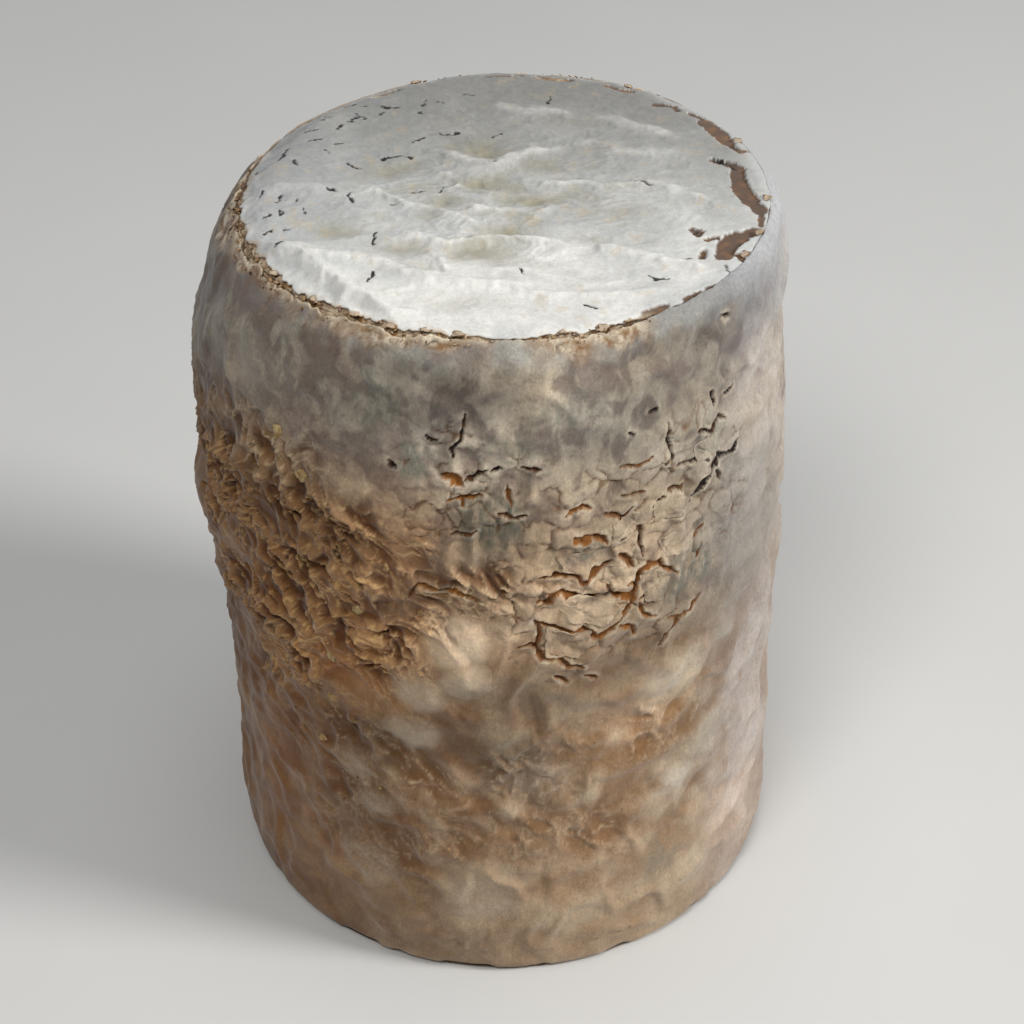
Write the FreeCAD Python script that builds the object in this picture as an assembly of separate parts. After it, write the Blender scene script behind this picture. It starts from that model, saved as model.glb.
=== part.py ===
import FreeCAD, Part
import math
import os
import random

# A small drum-shaped, mould-ripened cheese, in millimetres.
# +Z is up and is the drum's axis. The origin is in the middle of the face that it stands on.
# Azimuth is counted from the front (-Y), positive towards +X.
# Each layer is a closed outline in the XZ plane, turned about Z. On the rounded edges a slope
# says how far round the edge a point is: 0 where it meets the wall, 90 where it meets the flat.

# ---- driving dimensions -------------------------------------------------------------
HEIGHT = 92.0
RADIUS = 34.0             # wall radius at the base
BELLY = 1.15              # extra radius of the wall about two thirds of the way up
BELLY_Z = 58.0
BELLY_SPREAD = 17.0
TOP_TAPER = 1.7           # how much the wall draws in towards the top
TAPER_START = 0.75 * HEIGHT
SHOULDER = 4.9            # radius of the rounded upper edge
HEEL = 2.5                # radius of the rounded lower edge
TIGHTEST = 0.7            # least radius of an inner layer's rounded edge
WALL_STEPS = 8            # stretches of the wall's curve

BLOOM = 0.6               # thickness of the mould skin
RIND = 1.2                # thickness of the dried rind
CREAM = 3.5               # thickness of the softened layer under the rind
UNDER_BLOOM = BLOOM
UNDER_RIND = BLOOM + RIND
UNDER_CREAM = BLOOM + RIND + CREAM

RIM_SLOPE = 56.0          # where the top layers meet the side layers, on the shoulder
FOOT_SLOPE = 45.0         # where the bottom layers meet the side layers, on the heel
TEAR = 0.9                # width of the tear between the top skin and the side skin
HALF_TEAR = math.degrees(TEAR / 2 / SHOULDER)
CRACK = 0.45              # width of the cracks around the loose plates
PRISM_DEPTH = 6.0         # how far inside the wall the prisms start that cut out the plates

ORIGIN = FreeCAD.Vector(0, 0, 0)
ACROSS = FreeCAD.Vector(1, 0, 0)
UP = FreeCAD.Vector(0, 0, 1)

# Corners of each loose plate: azimuth in degrees, height in millimetres.
PLATES = [
    [(9.5, 56.2), (14, 55.2), (18.6, 54.6), (19.2, 52.4), (15.5, 50.6), (9.2, 51.6)],
    [(10.5, 59.6), (16, 60.2), (24.5, 57.6), (25.5, 56.6), (20.5, 54.4), (14, 56.4)],
    [(28.2, 60.6), (32, 60.8), (35, 58.6), (33.5, 55.6), (29, 56.4)],
    [(21.5, 63.2), (25.5, 62.6), (26.5, 60.6), (24, 59.4), (20.5, 60.8)],
    [(12, 65.6), (19, 66.2), (21, 63.8), (17.5, 62.6), (13, 63.6)],
    [(22, 69.0), (28.5, 69.6), (28, 66.6), (22.5, 66.2)],
    [(31, 69.6), (39, 69.2), (38, 66.4), (31.5, 66.6)],
    [(40.5, 74.6), (47, 75.0), (46, 72.6), (41, 72.2)],
    [(32, 64.2), (38.5, 64.8), (39.5, 61.4), (34, 61.6)],
]

# Azimuth, height, width and height of each curd knob, and how far the knobs stand out.
NODULES = [
    (-43.5, 75.4, 1.6, 2.0), (-36.5, 72.2, 1.4, 1.5), (-32.0, 69.0, 1.9, 1.7),
    (-44.0, 60.0, 1.5, 1.2), (-38.0, 60.2, 1.2, 1.1), (-25.5, 56.2, 1.3, 1.4),
    (-19.0, 63.4, 1.5, 1.0), (-42.5, 52.8, 1.0, 1.5), (-32.5, 48.0, 0.9, 1.7),
    (-50.0, 66.5, 1.3, 1.2), (-56.0, 60.5, 1.4, 1.3), (-28.0, 64.6, 1.3, 1.1),
    (-20.5, 53.2, 1.1, 1.2), (-13.0, 57.6, 1.1, 1.0), (-38.5, 32.8, 1.2, 1.0),
    (-34.5, 40.4, 1.1, 1.4), (-47.5, 47.0, 1.1, 1.2), (-8.0, 60.8, 1.6, 0.8),
]
NODULE_DEPTH = 1.1

# The same for each tuft of young mould.
PUFFS = [
    (-6.5, 54.0, 3.4, 4.2), (-5.5, 48.2, 2.8, 2.8), (-14.5, 45.6, 3.2, 3.0),
    (34.0, 43.4, 3.4, 2.6), (-17.0, 39.4, 3.2, 2.6), (37.0, 26.4, 3.0, 2.4),
]
PUFF_DEPTH = 1.2

# Azimuth, width and tilt of each curled flake on the rim.
FLAKES = [
    (26.5, 3.4, 34), (21.0, 2.6, 20), (13.5, 2.4, 26), (-8.0, 2.8, 24), (-14.5, 2.2, 30),
    (-22.0, 2.4, 22), (-30.5, 2.6, 28), (-41.0, 2.4, 20), (-55.0, 2.2, 26), (62.0, 2.4, 22),
    (71.0, 2.0, 30), (86.0, 2.2, 20), (112.0, 2.2, 24), (148.0, 2.0, 22), (-160.0, 2.2, 20),
]
FLAKE_LENGTH = 1.9
FLAKE_THICKNESS = 0.35

CRUMB_SPANS = [(-100.0, -16.0, 34), (6.0, 30.0, 9), (150.0, 200.0, 8)]   # from, to and how many
CRUMB_SIZE = (0.35, 0.75)
CRUMB_DROP = (8.0, 40.0)            # how far outside the tear they lie, in degrees of slope
CRUMB_SQUASH = (1.0, 0.8, 0.7)      # their proportions along the rim, up the skin and outwards

TORN_FROM, TORN_TO = 64.0, 126.0    # the strip where the top skin has come away
TORN_WIDTH = 1.7

random.seed(7)
os.makedirs("parts", exist_ok=True)


# ---- the outline --------------------------------------------------------------------
def wall_radius(z):
    radius = RADIUS + BELLY * math.exp(-((z - BELLY_Z) / BELLY_SPREAD) ** 2)
    return radius - TOP_TAPER * max(0.0, z - TAPER_START) / (HEIGHT - TAPER_START)


def edge_point(radius, inset, centre_z, slope, side):
    """A point on a rounded edge. The side is 1 for the shoulder and -1 for the heel."""
    angle = math.radians(slope)
    x = wall_radius(centre_z) - inset - radius + radius * math.cos(angle)
    return FreeCAD.Vector(x, 0, centre_z + side * radius * math.sin(angle))


def shoulder_point(inset, slope):
    radius = max(SHOULDER - inset, TIGHTEST)
    return edge_point(radius, inset, HEIGHT - inset - radius, slope, 1)


def heel_point(inset, slope):
    radius = max(HEEL - inset, TIGHTEST)
    return edge_point(radius, inset, inset + radius, slope, -1)


def rounded(edge, inset, start, end):
    """The stretch of a rounded edge between two slopes."""
    middle = edge(inset, (start + end) / 2)
    return Part.Arc(edge(inset, start), middle, edge(inset, end)).toShape()


def wall(inset):
    low = heel_point(inset, 0)
    high = shoulder_point(inset, 0)
    points = [low]
    for k in range(1, WALL_STEPS):
        z = low.z + (high.z - low.z) * k / WALL_STEPS
        points.append(FreeCAD.Vector(wall_radius(z) - inset, 0, z))
    points.append(high)
    curve = Part.BSplineCurve()
    curve.interpolate(points)
    return curve.toShape()


def on_axis(z):
    return FreeCAD.Vector(0, 0, z)


def turned(edges):
    return Part.Face(Part.Wire(edges)).revolve(ORIGIN, UP, 360)


# ---- layers -------------------------------------------------------------------------
def half_outline(inset):
    """From the middle of the base round to the middle of the top."""
    return [
        Part.makeLine(on_axis(inset), heel_point(inset, 90)),
        rounded(heel_point, inset, 90, 0),
        wall(inset),
        rounded(shoulder_point, inset, 0, 90),
        Part.makeLine(shoulder_point(inset, 90), on_axis(HEIGHT - inset)),
    ]


def solid_drum(inset):
    return turned(half_outline(inset) + [Part.makeLine(on_axis(HEIGHT - inset), on_axis(inset))])


def closed_layer(outer, inner):
    """A layer that goes all round, between two insets."""
    top = Part.makeLine(on_axis(HEIGHT - outer), on_axis(HEIGHT - inner))
    bottom = Part.makeLine(on_axis(inner), on_axis(outer))
    return turned(half_outline(outer) + [top] + half_outline(inner)[::-1] + [bottom])


def side_layer(outer, inner, slope):
    """A layer's wall, from the heel up to a slope on the shoulder."""
    return turned([
        rounded(heel_point, outer, FOOT_SLOPE, 0),
        wall(outer),
        rounded(shoulder_point, outer, 0, slope),
        Part.makeLine(shoulder_point(outer, slope), shoulder_point(inner, slope)),
        rounded(shoulder_point, inner, slope, 0),
        wall(inner),
        rounded(heel_point, inner, 0, FOOT_SLOPE),
        Part.makeLine(heel_point(inner, FOOT_SLOPE), heel_point(outer, FOOT_SLOPE)),
    ])


def cap_layer(edge, flat, outer, inner, slope):
    """A layer's top or bottom disc, from a slope on its rounded edge to the axis."""
    return turned([
        rounded(edge, outer, slope, 90),
        Part.makeLine(edge(outer, 90), on_axis(flat(outer))),
        Part.makeLine(on_axis(flat(outer)), on_axis(flat(inner))),
        Part.makeLine(on_axis(flat(inner)), edge(inner, 90)),
        rounded(edge, inner, 90, slope),
        Part.makeLine(edge(inner, slope), edge(outer, slope)),
    ])


def top_layer(outer, inner, slope):
    return cap_layer(shoulder_point, lambda inset: HEIGHT - inset, outer, inner, slope)


def bottom_layer(outer, inner):
    return cap_layer(heel_point, lambda inset: inset, outer, inner, FOOT_SLOPE)


def torn_strip():
    """A bent bar over the rim, where the top skin has come away."""
    rim = shoulder_point(0.0, RIM_SLOPE + HALF_TEAR)
    base = FreeCAD.Vector(0, 0, HEIGHT - SHOULDER)
    outside = Part.makeCylinder(RADIUS, 2 * SHOULDER, base, UP, TORN_TO - TORN_FROM)
    strip = outside.cut(Part.makeCylinder(rim.x - TORN_WIDTH, 2 * SHOULDER, base))
    strip.rotate(ORIGIN, UP, TORN_FROM - 90.0)
    return strip


# ---- small pieces -------------------------------------------------------------------
def outward(degrees):
    angle = math.radians(degrees)
    return FreeCAD.Vector(math.sin(angle), -math.cos(angle), 0)


def along(degrees):
    angle = math.radians(degrees)
    return FreeCAD.Vector(math.cos(angle), math.sin(angle), 0)


def plate_prism(corners, grow):
    """A prism through the wall with a plate's outline, made larger all round by a margin."""
    middle_a = sum(a for a, _ in corners) / len(corners)
    middle_z = sum(z for _, z in corners) / len(corners)
    centre = outward(middle_a) * (RADIUS - PRISM_DEPTH) + UP * middle_z
    points = []
    for a, z in corners:
        offset = along(middle_a) * (math.radians(a - middle_a) * RADIUS) + UP * (z - middle_z)
        points.append(centre + offset * (1 + grow / offset.Length))
    outline = Part.makePolygon(points + [points[0]])
    return Part.Face(outline).extrude(outward(middle_a) * 2 * PRISM_DEPTH)


def seat(shape, point, degrees, slope):
    """Turns a shape's +Z out of the skin and moves it to a point of the outline, at an azimuth."""
    shape.rotate(ORIGIN, ACROSS, 90.0 - slope)
    shape.rotate(ORIGIN, UP, degrees)
    shape.translate(outward(degrees) * point.x + UP * point.z)
    return shape


def half_lump(width, height, depth):
    """Half an ellipsoid, flat side down."""
    matrix = FreeCAD.Matrix()
    matrix.scale(width, height, depth)
    return Part.makeSphere(1.0, ORIGIN, UP, 0, 90, 360).transformGeometry(matrix)


def lumps_on_wall(places, depth):
    made = []
    for degrees, z, width, height in places:
        point = FreeCAD.Vector(wall_radius(z), 0, z)
        made.append(seat(half_lump(width, height, depth), point, degrees, 0.0))
    return made


def rim_flake(degrees, width, tilt):
    """A thin plate that stands on the rim with its outer edge curled up."""
    corner = FreeCAD.Vector(-width / 2, -FLAKE_LENGTH, 0)
    plate = Part.makeBox(width, FLAKE_LENGTH, FLAKE_THICKNESS, corner)
    plate.rotate(ORIGIN, ACROSS, -tilt)
    return seat(plate, shoulder_point(0.0, RIM_SLOPE), degrees, RIM_SLOPE)


def rim_crumb(degrees, size):
    """A squashed bead that rests on the shoulder, a little outside the tear."""
    slope = RIM_SLOPE - random.uniform(*CRUMB_DROP)
    bead = half_lump(*[size * share for share in CRUMB_SQUASH])
    return seat(bead, shoulder_point(0.0, slope), degrees, slope)


def rim_crumbs():
    made = []
    for start, end, count in CRUMB_SPANS:
        for k in range(count):
            degrees = start + (end - start) * (k + random.uniform(0.2, 0.8)) / count
            made.append(rim_crumb(degrees, random.uniform(*CRUMB_SIZE)))
    return made


# ---- the whole cheese ---------------------------------------------------------------
side_bloom = side_layer(0.0, UNDER_BLOOM, RIM_SLOPE - HALF_TEAR)
plates = []
for corners in PLATES:
    plates.append(side_bloom.common(plate_prism(corners, 0.0)))
    side_bloom = side_bloom.cut(plate_prism(corners, CRACK))


def group(shapes):
    return Part.makeCompound([solid for shape in shapes for solid in shape.Solids])


NODES = {
    "paste_core": solid_drum(UNDER_CREAM),
    "creamline": closed_layer(UNDER_RIND, UNDER_CREAM),
    "side_rind": side_layer(UNDER_BLOOM, UNDER_RIND, RIM_SLOPE),
    "top_rind": top_layer(UNDER_BLOOM, UNDER_RIND, RIM_SLOPE),
    "bottom_rind": bottom_layer(UNDER_BLOOM, UNDER_RIND),
    "side_bloom": side_bloom,
    "top_bloom": top_layer(0.0, UNDER_BLOOM, RIM_SLOPE + HALF_TEAR).cut(torn_strip()),
    "bottom_bloom": bottom_layer(0.0, UNDER_BLOOM),
    "crack_plates": group(plates),
    "curd_nodules": group(lumps_on_wall(NODULES, NODULE_DEPTH)),
    "mould_puffs": group(lumps_on_wall(PUFFS, PUFF_DEPTH)),
    "rim_flakes": group([rim_flake(*place) for place in FLAKES]),
    "rim_crumbs": group(rim_crumbs()),
}

for name, shape in NODES.items():
    shape.exportStep("parts/" + name + ".step")
    print(name, "solids", len(shape.Solids), "volume", round(shape.Volume, 1), "valid", shape.isValid())
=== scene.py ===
import math
import bpy
import numpy as np
from mathutils import Euler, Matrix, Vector


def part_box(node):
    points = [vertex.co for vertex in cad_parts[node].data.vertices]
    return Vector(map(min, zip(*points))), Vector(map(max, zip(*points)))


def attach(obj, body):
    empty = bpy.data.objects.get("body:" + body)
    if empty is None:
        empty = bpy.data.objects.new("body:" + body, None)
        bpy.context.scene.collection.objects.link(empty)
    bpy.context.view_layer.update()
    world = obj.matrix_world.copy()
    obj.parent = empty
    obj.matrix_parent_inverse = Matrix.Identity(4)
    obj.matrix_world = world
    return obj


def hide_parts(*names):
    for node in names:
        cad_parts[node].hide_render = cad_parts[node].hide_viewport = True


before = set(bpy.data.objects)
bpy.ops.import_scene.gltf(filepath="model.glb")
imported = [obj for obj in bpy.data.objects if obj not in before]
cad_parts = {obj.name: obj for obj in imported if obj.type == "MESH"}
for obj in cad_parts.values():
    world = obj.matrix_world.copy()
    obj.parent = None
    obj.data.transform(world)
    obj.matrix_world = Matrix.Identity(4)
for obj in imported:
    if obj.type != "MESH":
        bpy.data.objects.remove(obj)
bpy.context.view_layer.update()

from types import SimpleNamespace

# A small mould-ripened cheese drum. Shapes are worked out in millimetres and built in metres.
# Azimuth is counted in degrees from the front (-Y), positive towards +X. "Rise" is the way up
# the skin: the height on the wall, and the arc's length on round the shoulder.
MM = 0.001

# ---- the drum's outline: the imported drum's, with the unevenness of the real thing ----
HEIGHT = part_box("top_bloom")[1].z / MM
FOOT = Vector((1.2, 0.0, 0.0))      # the foot stands a little to the right of the slumped middle
RADIUS = 34.0
BELLY, BELLY_Z, BELLY_SPREAD = 1.15, 58.0, 17.0
TOP_TAPER = 1.7
LEAN, LEAN_Z, LEAN_SPREAD = 1.65, 66.0, 26.0
OVAL, TRILOBE = 0.12, 0.10
SHOULDER, SHOULDER_FRONT, SHOULDER_RIGHT = 4.9, 1.6, 2.3
HEEL = 1.6
BLOOM = 0.6
UNDER_RIND = 1.9
UNDER_CREAM = 5.4
MITRE_TOP = 31.0          # radius where the tear between the skins runs


def wall_radius(azimuth, z):
    radius = RADIUS + BELLY * np.exp(-((z - BELLY_Z) / BELLY_SPREAD) ** 2)
    radius = radius - TOP_TAPER * np.maximum(0.0, z / HEIGHT - 0.75) / 0.25
    radius = radius + OVAL * np.cos(2 * azimuth + 0.9)
    return radius + TRILOBE * np.cos(3 * azimuth + z / 30.0)


def centre_x(z):
    return FOOT.x - LEAN * np.exp(-((z - LEAN_Z) / LEAN_SPREAD) ** 2)


def shoulder_radius(azimuth):
    return SHOULDER - SHOULDER_FRONT * np.cos(azimuth) - SHOULDER_RIGHT * np.sin(azimuth)


def rim_slope(azimuth):
    """Where the tear runs on the shoulder's arc, in radians: 0 on the wall, a quarter turn on top."""
    reach = (wall_radius(azimuth, HEIGHT) - MITRE_TOP) / (shoulder_radius(azimuth) * math.sqrt(2))
    return math.pi / 4 + np.arcsin(np.minimum(reach, math.sqrt(0.5)))


def rim_radius(azimuth):
    shoulder = shoulder_radius(azimuth)
    return wall_radius(azimuth, HEIGHT) - shoulder + shoulder * np.cos(rim_slope(azimuth))


def skin_frame(azimuth, rise):
    """Points and outward normals of the bare outline, for azimuths in radians."""
    shoulder = shoulder_radius(azimuth)
    start = HEIGHT - shoulder
    up = np.clip((rise - start) / shoulder, 0, math.pi / 2)
    down = np.clip((rise - HEEL) / HEEL, -math.pi / 2, 0)
    slope = up + down
    z = np.where(rise > start, start + shoulder * np.sin(up), rise)
    z = np.where(rise < HEEL, HEEL + HEEL * np.sin(down), z)
    radius = wall_radius(azimuth, z) - shoulder * (1 - np.cos(up)) - HEEL * (1 - np.cos(down))
    side, front = np.sin(azimuth), -np.cos(azimuth)
    points = np.stack([centre_x(z) + radius * side, FOOT.y + radius * front, z], -1)
    normals = np.stack([side * np.cos(slope), front * np.cos(slope), np.sin(slope)], -1)
    return points, normals


def top_frame(azimuth, radius):
    """Points and normals on the top, where the outer stretch follows the shoulder down."""
    shoulder = shoulder_radius(azimuth)
    over = np.clip(radius - (wall_radius(azimuth, HEIGHT) - shoulder), 0, shoulder)
    drop = shoulder - np.sqrt(shoulder ** 2 - over ** 2)
    lean = over / shoulder
    side, front = np.sin(azimuth), -np.cos(azimuth)
    points = np.stack([centre_x(HEIGHT) + radius * side, FOOT.y + radius * front, HEIGHT - drop], -1)
    normals = np.stack([side * lean, front * lean, np.sqrt(1 - lean ** 2)], -1)
    return points, normals


# ---- noise --------------------------------------------------------------------------
DRAWS = np.random.RandomState(11)
SHUFFLE = DRAWS.permutation(256).astype(np.int32)
SLOPES = DRAWS.normal(size=(3, 256)).astype(np.float32)
SLOPES /= np.linalg.norm(SLOPES, axis=0)
JITTER = DRAWS.uniform(0.1, 0.9, (256, 3)).astype(np.float32)
TINTS = DRAWS.uniform(0, 1, 256).astype(np.float32)


def hashed(cell, seed):
    first = SHUFFLE[(cell[:, 0] + 31 * seed) & 255]
    second = SHUFFLE[(first + cell[:, 1]) & 255]
    return SHUFFLE[(second + cell[:, 2]) & 255]


def noise(points, size, seed):
    """Gradient noise between about -1 and 1, with bumps of the given size."""
    p = (points.T / size + 7.31 * (seed + 1)).astype(np.float32)
    cell = np.floor(p).astype(np.int32)
    part = p - cell
    fade = part * part * part * (part * (part * 6 - 15) + 10)
    weights = (1 - fade, fade)
    total = np.zeros(p.shape[1], np.float32)
    for i in (0, 1):
        row = SHUFFLE[(cell[0] + i + 31 * seed) & 255]
        for j in (0, 1):
            column = SHUFFLE[(row + cell[1] + j) & 255]
            share = weights[i][0] * weights[j][1]
            for k in (0, 1):
                key = SHUFFLE[(column + cell[2] + k) & 255]
                pull = SLOPES[0][key] * (part[0] - i) + SLOPES[1][key] * (part[1] - j)
                pull += SLOPES[2][key] * (part[2] - k)
                total += share * weights[k][2] * pull
    return total * 1.7


def fractal(points, size, octaves, seed, gain=0.5):
    total, weight, share = 0.0, 0.0, 1.0
    for k in range(octaves):
        total = total + share * noise(points, size / 2 ** k, seed + k)
        weight += share
        share *= gain
    return total / weight


def ridged(points, size, octaves, seed, gain=0.5):
    """Sharp crests with round valleys, between 0 and 1."""
    total, weight, share = 0.0, 0.0, 1.0
    for k in range(octaves):
        total = total + share * (1 - np.abs(noise(points, size / 2 ** k, seed + k))) ** 2
        weight += share
        share *= gain
    return total / weight


def crest(points, size, seed, wide):
    """Round-backed crests that run along the lines where the noise changes sign."""
    return 1 - smooth(np.abs(noise(points, size, seed)), 0, wide)


def cells(points, size, seed):
    """Distances to the nearest and second nearest seed point, and the nearest one's own tint."""
    p = (points / size + 3.7 * (seed + 1)).astype(np.float32)
    cell = np.floor(p).astype(np.int32)
    part = p - cell
    near = np.full(len(p), 9.0, np.float32)
    second = near.copy()
    tint = near.copy()
    for x, y, z in np.ndindex(3, 3, 3):
        step = np.array([x - 1, y - 1, z - 1])
        key = hashed(cell + step, seed)
        distance = np.linalg.norm(step + JITTER[key] - part, axis=1)
        closer = distance < near
        second = np.where(closer, near, np.minimum(second, distance))
        tint = np.where(closer, TINTS[key], tint)
        near = np.where(closer, distance, near)
    return near, second, tint


def warped(points, size, amount, seed):
    """The points pushed about, so that shapes drawn on them get ragged edges."""
    push = [noise(points, size, seed + k) for k in range(3)]
    return points + amount * np.stack(push, -1)


def smooth(value, low, high):
    t = np.clip((value - low) / (high - low), 0, 1)
    return t * t * (3 - 2 * t)


def mix(a, b, share):
    share = np.clip(np.asarray(share), 0, 1)[..., None]
    return a * (1 - share) + b * share


def linear(code):
    """A colour as linear light, from the usual six hex digits."""
    parts = np.array([int(code[k:k + 2], 16) for k in (0, 2, 4)]) / 255
    return np.where(parts <= 0.04045, parts / 12.92, ((parts + 0.055) / 1.055) ** 2.4)


# ---- places on the skin -------------------------------------------------------------
def around(azimuth, middle):
    """Way round the wall from a middle azimuth in degrees, in millimetres."""
    turn = (np.degrees(azimuth) - middle + 180) % 360 - 180
    return np.radians(turn) * RADIUS


def patches(azimuth, rise, places, ragged):
    """The strongest of several soft oval patches: (middle, height, half width, half height, strength)."""
    total = np.zeros(rise.shape)
    for middle, height, wide, tall, strength in places:
        reach = np.hypot(around(azimuth, middle) / wide, (rise - height) / tall) + ragged
        total = np.maximum(total, strength * smooth(-reach, -1.35, -0.55))
    return total


def line_distance(x, y, path):
    """Distance to a line through a few points, and the share of the way along it."""
    best = np.full(x.shape, 1e3)
    share = np.zeros(x.shape)
    count = len(path) - 1
    for k in range(count):
        (ax, ay), (bx, by) = path[k], path[k + 1]
        dx, dy = bx - ax, by - ay
        t = np.clip(((x - ax) * dx + (y - ay) * dy) / (dx * dx + dy * dy), 0, 1)
        distance = np.hypot(x - ax - t * dx, y - ay - t * dy)
        share = np.where(distance < best, (k + t) / count, share)
        best = np.minimum(best, distance)
    return best, share


# Lumps and dents of the whole wall: azimuth, height, half width, half height, how far out.
BODY_LUMPS = [
    (-84, 76.0, 12, 5.0, 0.9), (-84, 60.5, 10, 2.6, -1.3), (-84, 54.5, 10, 3.4, 0.9),
    (-82, 88.5, 12, 3.0, -0.7), (-84, 43.5, 9, 2.6, 0.5), (-84, 38.0, 9, 2.0, -0.3),
    (-84, 8.0, 14, 7.0, 0.45), (84, 85.0, 10, 3.0, 0.45), (84, 79.5, 9, 2.2, -0.3),
    (84, 29.0, 13, 6.0, -0.75), (84, 6.0, 12, 4.0, 0.4), (150, 52.0, 16, 9.0, 0.5),
    (-140, 34.0, 14, 8.0, -0.5), (176, 72.0, 14, 7.0, -0.4), (-120, 66.0, 12, 6.0, 0.5),
]

# Rough, curdy stretches of the wall.
CURD_PATCHES = [
    (-48, 66, 15, 10, 1.0), (-32, 62, 13, 10, 1.0), (-20, 58, 9, 8, 0.9), (-36, 50, 15, 9, 0.95),
    (-42, 38, 14, 9, 0.85), (-30, 30, 13, 9, 0.8), (-5, 61, 8, 4, 0.8), (9, 34, 8, 6, 0.7),
    (13, 22, 9, 6, 0.55), (-26, 20, 12, 6, 0.55), (34, 36, 8, 5, 0.5), (-62, 56, 9, 14, 0.7),
    (-12, 25, 9, 5, 0.45), (125, 58, 16, 13, 0.8), (150, 36, 15, 12, 0.85), (-150, 62, 18, 12, 0.8),
    (-118, 42, 14, 11, 0.75), (178, 22, 16, 8, 0.6),
]

# Stretches with fine, dry, cracked skin.
DRY_PATCHES = [
    (22, 62, 13, 13, 1.0), (40, 68, 9, 11, 0.9), (-4, 75, 9, 8, 0.7), (-120, 76, 12, 8, 0.8),
    (160, 70, 14, 9, 0.8), (-165, 40, 12, 10, 0.6), (100, 40, 9, 9, 0.5),
]

# Blue-grey mould.
BLUE_PATCHES = [
    (0.5, 70.0, 3.4, 3.4, 1.0), (-14.5, 77.0, 2.2, 2.4, 0.9), (2, 79, 4.0, 2.6, 0.5),
    (15.5, 65.6, 2.8, 1.6, 0.8), (20.5, 66.8, 1.4, 2.2, 0.7), (37.0, 57.0, 2.6, 4.0, 0.8),
    (42.5, 57.5, 1.8, 3.4, 0.9), (29, 48.5, 2.4, 2.0, 0.4), (-21, 84, 3.2, 3.6, 0.6),
    (13, 83.5, 5.0, 2.4, 0.45), (45, 75, 2.4, 1.8, 0.5), (34.5, 13, 3.0, 4.5, 0.5),
    (-134, 70, 4.0, 5.0, 0.8), (140, 76, 5.0, 4.0, 0.7), (172, 50, 4.0, 6.0, 0.7),
]

# Soft tufts of young white mould.
PUFFS = [
    (-6.5, 54.0, 3.4, 4.2), (-5.5, 48.2, 2.8, 2.8), (-14.5, 45.6, 3.2, 3.0),
    (34.0, 43.4, 3.4, 2.6), (-17.0, 39.4, 3.2, 2.6), (37.0, 26.4, 3.0, 2.4),
]
PALE_PATCHES = [
    (-7, 52, 3.6, 4.6, 0.6), (-19, 41, 4.6, 4.6, 0.5), (34, 43, 8, 4, 0.7), (37, 26, 5, 4, 0.6),
    (48, 27, 4, 5, 0.5), (-31, 31, 2.4, 2.4, 0.8), (-26, 25, 2.4, 2.4, 0.6), (7, 32, 3.4, 3.4, 0.5),
    (-5, 13, 5, 4, 0.6), (62, 62, 9, 14, 0.6), (66, 30, 8, 16, 0.7), (-30, 15, 5, 3, 0.5),
    (-58, 82, 9, 4, 0.5), (55, 74, 4, 5, 0.5), (110, 24, 9, 8, 0.6), (-100, 22, 10, 9, 0.6),
    (158, 84, 9, 4, 0.6), (-160, 16, 9, 6, 0.5), (130, 80, 6, 5, 0.5),
]

# Broad places of the front that are lighter or darker than the skin round them, partly by their own tone
# and partly as painted light and shade: azimuth, height, half width, half height, factor.
TONE_AND_SHADE_PATCHES = [
    (15, 86, 7, 4, 2), (60, 87, 9, 4, 0.62), (-30, 86, 6, 4, 1.25), (0, 85, 5, 3, 0.75),
    (-70, 76, 7, 6, 0.75), (-15, 78, 6, 4.5, 1.6), (0, 78, 4, 4, 1.25), (15, 78, 6, 4, 0.8),
    (30, 76, 12, 8, 1.2), (0, 70, 5, 4, 0.6), (-15, 67, 5, 7, 1.45), (-52, 66, 19, 8, 0.72),
    (15, 62, 7, 4, 1.4), (30, 62, 6, 5, 1.5), (0, 54, 6, 4, 1.6), (-15, 54, 6, 5, 1.45),
    (62, 56, 8, 11, 0.66), (8, 46, 10, 4, 0.55), (-50, 46, 7, 4, 0.8), (-30, 46, 6, 4, 1.7),
    (40, 45, 9, 4, 1.3), (-22, 38, 18, 4, 0.7), (2, 38, 5, 4, 0.72), (30, 38, 6, 4, 1.7),
    (-15, 30, 5, 4, 1.4), (-32, 26, 8, 7, 0.78), (45, 30, 6, 5, 0.8), (-70, 36, 8, 9, 0.75),
    (12, 20, 12, 6, 1.15), (60, 13, 7, 6, 1.5), (-30, 3, 30, 4, 0.85),
]
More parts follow.
